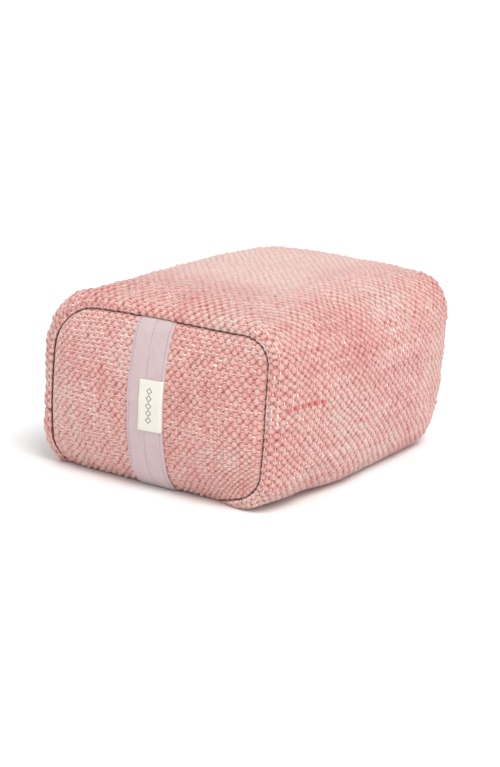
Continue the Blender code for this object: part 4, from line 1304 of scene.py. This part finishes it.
def stitches(name, path, normals, stitch, gap, radius):
    """A mesh of stitches along a path of points with outward normals."""
    path = np.asarray(path)
    normals = np.asarray(normals)
    walked = np.concatenate([[0], np.cumsum(np.linalg.norm(np.diff(path, axis=0), axis=1))])
    count = max(1, int((walked[-1] + gap) / (stitch + gap)))
    pitch = (walked[-1] + gap) / count
    points, faces = [], []

    def at(length):
        place = np.array([np.interp(length, walked, path[:, k]) for k in range(3)])
        out = np.array([np.interp(length, walked, normals[:, k]) for k in range(3)])
        return place, out / np.linalg.norm(out)

    for i in range(count):
        start = i * pitch
        first = len(points)
        for ring in range(STITCH_RINGS):
            share = ring / (STITCH_RINGS - 1)
            place, out = at(start + share * (pitch - gap))
            ahead = at(min(start + share * (pitch - gap) + 0.2 * MM, walked[-1] + 1e-9))[0]
            behind = at(max(start + share * (pitch - gap) - 0.2 * MM, 0.0))[0]
            forward = (ahead - behind) / np.linalg.norm(ahead - behind)
            side = np.cross(forward, out)
            plump = math.sqrt(max(1 - (2 * share - 1) ** 2 * 0.85, 0.0))
            middle = place + out * radius * (1.2 * plump - 0.7)
            for k in range(STITCH_SIDES):
                turn = 2 * math.pi * k / STITCH_SIDES
                points.append(middle + (side * math.cos(turn) + out * math.sin(turn)) * radius * plump)
        for ring in range(STITCH_RINGS - 1):
            for k in range(STITCH_SIDES):
                low = first + ring * STITCH_SIDES
                after = (k + 1) % STITCH_SIDES
                faces.append((low + k, low + after, low + STITCH_SIDES + after, low + STITCH_SIDES + k))
        faces.append(tuple(range(first, first + STITCH_SIDES)))
        last = first + (STITCH_RINGS - 1) * STITCH_SIDES
        faces.append(tuple(range(last + STITCH_SIDES - 1, last - 1, -1)))
    mesh = bpy.data.meshes.new(name)
    mesh.from_pydata([tuple(point) for point in points], [], faces)
    clean(mesh)
    return mesh


# %% Seam threads
def seam_path(facing):
    """The line of the seam round an end, with normals that face along the brick."""
    around = np.linspace(0.2 * MM, GIRTH - 0.2 * MM, 240)
    along = facing * (FLAT_RUN + ROLL_RUN + TUCK_RUN + 0.4 * MM)
    path = strip_surface(around, np.full_like(around, along))
    middle = np.array([CENTRE_X, path[0, 1], PANEL_MIDDLE])
    inward = middle - path
    inward[:, 1] = 0
    inward = inward / np.linalg.norm(inward, axis=1, keepdims=True)
    return path + inward * 0.1 * MM, np.tile([0.0, float(facing), 0.0], (len(path), 1))


for side, facing in (("front", -1), ("rear", 1)):
    path, normals = seam_path(facing)
    sewn = stitches(side + "_seam_stitches", path, normals, 3.0 * MM, 0.7 * MM, 0.28 * MM)
    place_piece(side + "_seam_stitches", sewn, rose_thread, "cushion", [side + "_seam_thread"])
print("seams sewn")

# %% [markdown]
# ## The strap
#
# The strap is a flat woven tape, so it is modelled directly. It lies on the front panel from the top
# seam to the foot, and its two ends are caught in the seams. Its middle can be pulled away from the
# brick as a handle, and it is made in two halves that meet behind the label.

# %% Strap
STRAP_THICK = 1.1 * MM
STRAP_LIFT = 0.35 * MM
SEAM_TOP = PANEL_HIGH - 0.2 * MM
SEAM_FOOT = PANEL_LOW + 0.2 * MM
LABEL_MIDDLE = (LABEL_LOW.z + LABEL_HIGH.z) / 2 + LABEL_RISE
LABEL_TOP = LABEL_MIDDLE + LABEL_TALL / 2
LABEL_FOOT = LABEL_MIDDLE - LABEL_TALL / 2
STRAP_COLUMNS = 13
STRAP_ROWS = 44


def front_sheet(x, z, lift):
    """Points that far in front of the front panel, smoothed, with their normals."""
    free = smoothstep(0, 5 * MM, rim_distance(x, z))
    base = panel_surface(x, z, -1) + panel_settle(x, z, -1) * free[..., None]
    normal = normals_of(base)
    normal = normal * -np.sign(normal[..., 1].mean())
    return base + normal * np.broadcast_to(lift, x.shape)[..., None], normal


def front_line(x, z, step, lift):
    """Points up the front panel at one x, and their normals, which need a column on either side."""
    columns = np.stack([np.full(len(z), x + side * step) for side in (-1, 0, 1)])
    points, normals = front_sheet(columns, np.tile(z, (3, 1)), lift)
    return points[1], normals[1]


def strap_depth(z):
    """How clear of the seams a height is, how far the strap's back stands off, and its thickness."""
    clear = smoothstep(0, 7 * MM, np.minimum(SEAM_TOP - z, z - SEAM_FOOT))
    return clear, STRAP_LIFT * (0.2 + 0.8 * clear), STRAP_THICK * (0.5 + 0.5 * clear)


def strap_half(name, z_from, z_to):
    rows = np.linspace(z_from, z_to, STRAP_ROWS)
    columns = np.linspace(-STRAP_HALF, STRAP_HALF, STRAP_COLUMNS)
    across, z = np.meshgrid(columns, rows, indexing="ij")
    waver = 0.18 * MM * uneven(71, z * 1.0, np.sign(across) * 0.01, 7 * MM) * np.abs(across) / STRAP_HALF
    x = STRAP_MIDDLE + across + waver
    clear, lift, thick = strap_depth(z)
    ripple = 0.12 * MM * uneven(72, x, z, 10 * MM)
    edge = 0.35 * MM * np.clip((np.abs(across) / STRAP_HALF - 0.9) / 0.1, 0, 1) ** 2
    outer = front_sheet(x, z, lift + thick + ripple * clear - edge)[0]
    inner = front_sheet(x, z, lift)[0]
    outer[..., 2] = np.maximum(outer[..., 2], 0.0)
    uv = np.stack([across / MM, z / MM], axis=-1)
    every = (thin_out(STRAP_COLUMNS, 3), thin_out(len(rows), 3))
    mesh = sheet_mesh(name, outer, inner, uv, every)
    mesh.set_sharp_from_angle(angle=math.radians(50))  # a crisp cut end, so the halves meet unseen
    return mesh


STRAP_HALVES = (("upper", SEAM_TOP, LABEL_MIDDLE, LABEL_TOP, "strap_tab_top"),
                ("lower", SEAM_FOOT, LABEL_MIDDLE, LABEL_FOOT, "strap_tab_bottom"))
for half, seam_z, meet_z, free_z, tab in STRAP_HALVES:
    strap = place_piece("strap_" + half, strap_half("strap_" + half, seam_z, meet_z), strap_tape, None,
                        ["handle_strap", tab])
    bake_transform(strap)

# %% Strap stitches
ROW_INSET = 1.5 * MM
for row, offset in (("left", -STRAP_HALF + ROW_INSET), ("middle", 0.0), ("right", STRAP_HALF - ROW_INSET)):
    for half, seam_z, meet_z, free_z, tab in STRAP_HALVES:
        sign = math.copysign(1.0, meet_z - seam_z)
        z = np.arange(seam_z + sign * 0.5 * MM, meet_z, sign * 0.5 * MM)
        lift, thick = strap_depth(z)[1:]
        path, outward = front_line(STRAP_MIDDLE + offset, z, 1 * MM, lift + thick)
        name = "strap_stitches_" + row + "_" + half
        sewn = stitches(name, path, outward, 1.7 * MM, 0.6 * MM, 0.15 * MM)
        piece = place_piece(name, sewn, lilac_thread, None, ["strap_stitch_" + row])
        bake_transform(piece)
print("strap sewn")

# %% Label
LABEL_THICK = 0.5 * MM
LABEL_RIGHT = STRAP_MIDDLE + STRAP_HALF - 0.3 * MM
LABEL_LEFT = LABEL_RIGHT - LABEL_WIDE
LABEL_COLUMNS = 22
LABEL_ROWS = 34


def make_label():
    columns = np.linspace(LABEL_LEFT, LABEL_RIGHT, LABEL_COLUMNS)
    rows = np.linspace(LABEL_FOOT, LABEL_TOP, LABEL_ROWS)
    x, z = np.meshgrid(columns, rows, indexing="ij")
    fringe = 0.15 * MM * uneven(81, x, z, 1.6 * MM)
    across = (x - LABEL_LEFT) / LABEL_WIDE
    z = z + fringe * (np.abs(z - LABEL_MIDDLE) > LABEL_TALL / 2 - 0.1 * MM)
    slant = (across - 0.5) * 0.5 * MM
    from_middle = np.abs(z - LABEL_MIDDLE) / LABEL_TALL * 2
    curl = 0.5 * MM * np.clip((0.12 - across) / 0.12, 0, 1) ** 2 * from_middle ** 2
    wrap_over = 0.9 * MM * np.clip((across - 0.93) / 0.07, 0, 1) ** 2  # folds over the strap's edge
    base = STRAP_LIFT + STRAP_THICK + 0.12 * MM
    ripple = 0.1 * MM * uneven(82, x, z, 6 * MM)
    outer = front_sheet(x, z + slant, base + LABEL_THICK + curl + ripple - wrap_over)[0]
    inner = front_sheet(x, z + slant, base + curl - wrap_over)[0]
    uv = np.stack([(x - LABEL_LEFT) / MM, (z - LABEL_FOOT) / MM], axis=-1)
    every = (thin_out(LABEL_COLUMNS, 3), thin_out(LABEL_ROWS, 3))
    return sheet_mesh("label_cloth", outer, inner, uv, every)


label = place_piece("label_cloth", make_label(), label_cloth, "handle", ["label"])

z = np.linspace(LABEL_FOOT + 1 * MM, LABEL_TOP - 1 * MM, 40)
on_label = STRAP_LIFT + STRAP_THICK + LABEL_THICK + 0.15 * MM
path, outward = front_line(LABEL_LEFT + 1.2 * MM, z, 0.5 * MM, on_label)
sewn = stitches("label_stitches", path, outward, 1.5 * MM, 0.6 * MM, 0.13 * MM)
place_piece("label_stitches", sewn, cream_thread, "handle", ["label_stitch"])
print("label in mm:", round(LABEL_WIDE / MM, 1), "by", round(LABEL_TALL / MM, 1))

# %% [markdown]
# ## The zip
#
# The zip lies low on the far side. Its two tapes are flat woven bands behind the edges of the cover,
# each with a nylon coil along its inner edge: a real spiral, in which the two sides interlock. The
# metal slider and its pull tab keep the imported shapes, with softly rounded edges.

# %% Zip tapes, coils and stitches
ZIP_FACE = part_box("zip_coil_upper")[0].x - CENTRE_X  # the coil's outer face
TAPE_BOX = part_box("zip_tape_upper")
TAPE_BACK = ZIP_FACE + 1.5 * MM
TAPE_REACH = (TAPE_BOX[1].y - TAPE_BOX[0].y) / 2
COIL_REACH = (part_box("zip_coil_upper")[1].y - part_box("zip_coil_upper")[0].y) / 2
TAPE_WIDE = 12 * MM
COIL_PITCH = 1.2 * MM
COIL_WIRE = 0.27 * MM
COIL_TURNS = int(2 * COIL_REACH / COIL_PITCH) - 1


def zip_tape(name, sign):
    y = np.linspace(-TAPE_REACH, TAPE_REACH, 120)
    rise = np.linspace(0.25 * MM, TAPE_WIDE, 14)
    rise, y = np.meshgrid(rise, y, indexing="ij")
    sway = 0.12 * MM * uneven(91, rise, y, 9 * MM) * rise / TAPE_WIDE
    outer = np.stack([TAPE_BACK + sway + CENTRE_X, y + CENTRE_Y, ZIP_HEIGHT + sign * rise], axis=-1)
    inner = outer + np.array([0.55 * MM, 0, 0])
    uv = np.stack([rise / MM, y / MM], axis=-1)
    return sheet_mesh(name, outer, inner, uv, (thin_out(14, 3), thin_out(120, 5)))


def zip_coil(name, sign):
    per_turn, sides = 9, 5
    angle = np.arange(COIL_TURNS * per_turn + 1) / per_turn * 2 * math.pi
    shift = 0.0 if sign > 0 else COIL_PITCH / 2
    y = -COIL_REACH + 0.3 * MM + shift + angle / (2 * math.pi) * COIL_PITCH
    z = ZIP_HEIGHT + sign * (1.25 * MM + 1.15 * MM * np.cos(angle))
    x = ZIP_FACE + 0.6 * MM + 0.42 * MM * np.sin(angle)
    middle = np.stack([x + CENTRE_X, y + CENTRE_Y, z], axis=-1)
    forward = np.gradient(middle, axis=0)
    forward /= np.linalg.norm(forward, axis=1, keepdims=True)
    side = np.cross(forward, np.array([0.0, 1.0, 0.0]))
    side /= np.linalg.norm(side, axis=1, keepdims=True)
    up_way = np.cross(forward, side)
    points, faces = [], []
    for k in range(sides):
        turn = 2 * math.pi * k / sides
        points.append(middle + (side * math.cos(turn) + up_way * math.sin(turn)) * COIL_WIRE)
    points = np.stack(points, axis=1).reshape(-1, 3)
    for i in range(len(angle) - 1):
        for k in range(sides):
            after = (k + 1) % sides
            faces.append((i * sides + k, i * sides + after, (i + 1) * sides + after, (i + 1) * sides + k))
    faces.append(tuple(range(sides)))
    faces.append(tuple(range(len(points) - 1, len(points) - 1 - sides, -1)))
    mesh = bpy.data.meshes.new(name)
    mesh.from_pydata(points.tolist(), [], faces)
    clean(mesh)
    return mesh


for level, sign in (("upper", 1), ("lower", -1)):
    tape = place_piece("zip_tape_cloth_" + level, zip_tape("zip_tape_cloth_" + level, sign), zip_cloth,
                       "cushion", ["zip_tape_" + level])
    place_piece("zip_spiral_" + level, zip_coil("zip_spiral_" + level, sign), coil_nylon, "cushion",
                ["zip_coil_" + level])
    row = ZIP_SLOT / 2 + 2.5 * MM
    around = row - ZIP_SLOT / 2 if sign < 0 else GIRTH - row + ZIP_SLOT / 2
    along = np.linspace(-ZIP_END, ZIP_END, 120)
    path = strip_surface(np.full_like(along, around), along)
    path = path + strip_settle(np.full_like(along, around), along)
    out = np.tile([-1.0, 0.0, 0.0], (len(along), 1))
    sewn = stitches("zip_stitches_" + level, path + out * 0.25 * MM, out, 2.6 * MM, 0.8 * MM, 0.25 * MM)
    place_piece("zip_stitches_" + level, sewn, rose_thread, "cushion", ["zip_stitch_" + level])
print("zip coil turns:", COIL_TURNS)


# %% Metal parts
WELD = 0.002 * MM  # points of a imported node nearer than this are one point


def softened(name, node_name, edge):
    """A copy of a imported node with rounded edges."""
    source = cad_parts[node_name]
    copied = bpy.data.objects.new(name + "_raw", source.data.copy())
    bpy.context.scene.collection.objects.link(copied)
    builder = bmesh.new()
    builder.from_mesh(copied.data)
    bmesh.ops.remove_doubles(builder, verts=builder.verts, dist=WELD)
    bmesh.ops.dissolve_limit(builder, angle_limit=math.radians(1), verts=builder.verts, edges=builder.edges)
    builder.to_mesh(copied.data)
    builder.free()
    rounding = copied.modifiers.new("rounding", "BEVEL")
    rounding.width = edge
    rounding.segments = 3
    rounding.limit_method = "ANGLE"
    rounding.angle_limit = math.radians(30)
    graph = bpy.context.evaluated_depsgraph_get()
    mesh = bpy.data.meshes.new_from_object(copied.evaluated_get(graph))
    bpy.data.objects.remove(copied, do_unlink=True)
    mesh.name = name
    clean(mesh)
    return mesh


METAL = (("slider_body", "zip_slider", "slider", 0.16), ("pull_blade", "zip_pull", "pull_tab", 0.22),
         ("top_stop", "zip_top_stop", "cushion", 0.15), ("bottom_stop", "zip_bottom_stop", "cushion", 0.15))
for name, node_name, body, edge in METAL:
    place_piece(name, softened(name, node_name, edge * MM), nickel, body, [node_name])
print("metal parts:", [row[0] for row in METAL])

# %% [markdown]
# ## What is inside
#
# Nothing of the filling shows, but it must fit the rounder cover: a calico liner round wadding round
# the foam block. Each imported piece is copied, given more points, scaled to the stuffed cover and moved
# with the function that rests the cover on the floor, so the layers stay nested.

# %% Filling
LINER_CORNER = 20 * MM


def fitted(points):
    """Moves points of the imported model's filling to where they lie in the stuffed cover."""
    x = (points[:, 0] - CENTRE_X) * (HALF_WIDTH - 1 * MM) / PATTERN_HALF_WIDTH
    y = (points[:, 1] - CENTRE_Y) * (HALF_LENGTH - 0.5 * MM) / PATTERN_HALF_LENGTH
    z = 0.6 * MM + points[:, 2] * (FLAT_HEIGHT - 1.2 * MM) / PATTERN_HEIGHT
    return at_rest(np.stack([x, y, z], axis=-1))


def fitted_copy(name, node_name, cuts):
    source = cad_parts[node_name]
    mesh = source.data.copy()
    mesh.name = name
    builder = bmesh.new()
    builder.from_mesh(mesh)
    bmesh.ops.remove_doubles(builder, verts=builder.verts, dist=WELD)
    if cuts:
        bmesh.ops.subdivide_edges(builder, edges=builder.edges, cuts=cuts, use_grid_fill=True)
    builder.to_mesh(mesh)
    builder.free()
    places = np.empty(len(mesh.vertices) * 3, np.float32)
    mesh.vertices.foreach_get("co", places)
    mesh.vertices.foreach_set("co", fitted(places.reshape(-1, 3).astype(float)).astype(np.float32).ravel())
    mesh.update()
    layer = mesh.uv_layers.get("weave") or mesh.uv_layers.new(name="weave")
    corners = np.empty(len(mesh.loops), np.int32)
    mesh.loops.foreach_get("vertex_index", corners)
    spread_out = places.reshape(-1, 3)[corners]
    layer.data.foreach_set("uv", np.stack([spread_out[:, 0] + spread_out[:, 2], spread_out[:, 1]],
                                          axis=-1).astype(np.float32).ravel() / np.float32(MM))
    clean(mesh)
    return mesh


FILLING = (("liner_wrap", calico_cloth, "calico", "wrap"), ("liner_front", calico_cloth, "calico", "end"),
           ("liner_rear", calico_cloth, "calico", "end"), ("wadding_wrap", wadding_fill, "wadding", None),
           ("wadding_front", wadding_fill, "wadding", None), ("wadding_rear", wadding_fill, "wadding", None),
           ("foam_core", foam_fill, "foam", None))
for node_name, material, slot_name, cloth_kind in FILLING:
    piece = place_piece(node_name + "_inside", fitted_copy(node_name + "_inside", node_name, 1), material,
                        "cushion", [node_name])
    low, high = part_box(node_name)
    if cloth_kind == "wrap":
        around = 2 * (high.x - low.x + high.z - low.z) - 2 * (4 - math.pi) * LINER_CORNER
print("filling:", [row[0] for row in FILLING])

# %% Measure and finish
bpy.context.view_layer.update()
for name, corners in (("packed", CAD_BOX), ("visual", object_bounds())):
    print(name, "box in mm:", [[round(value / MM, 1) for value in corner] for corner in corners])
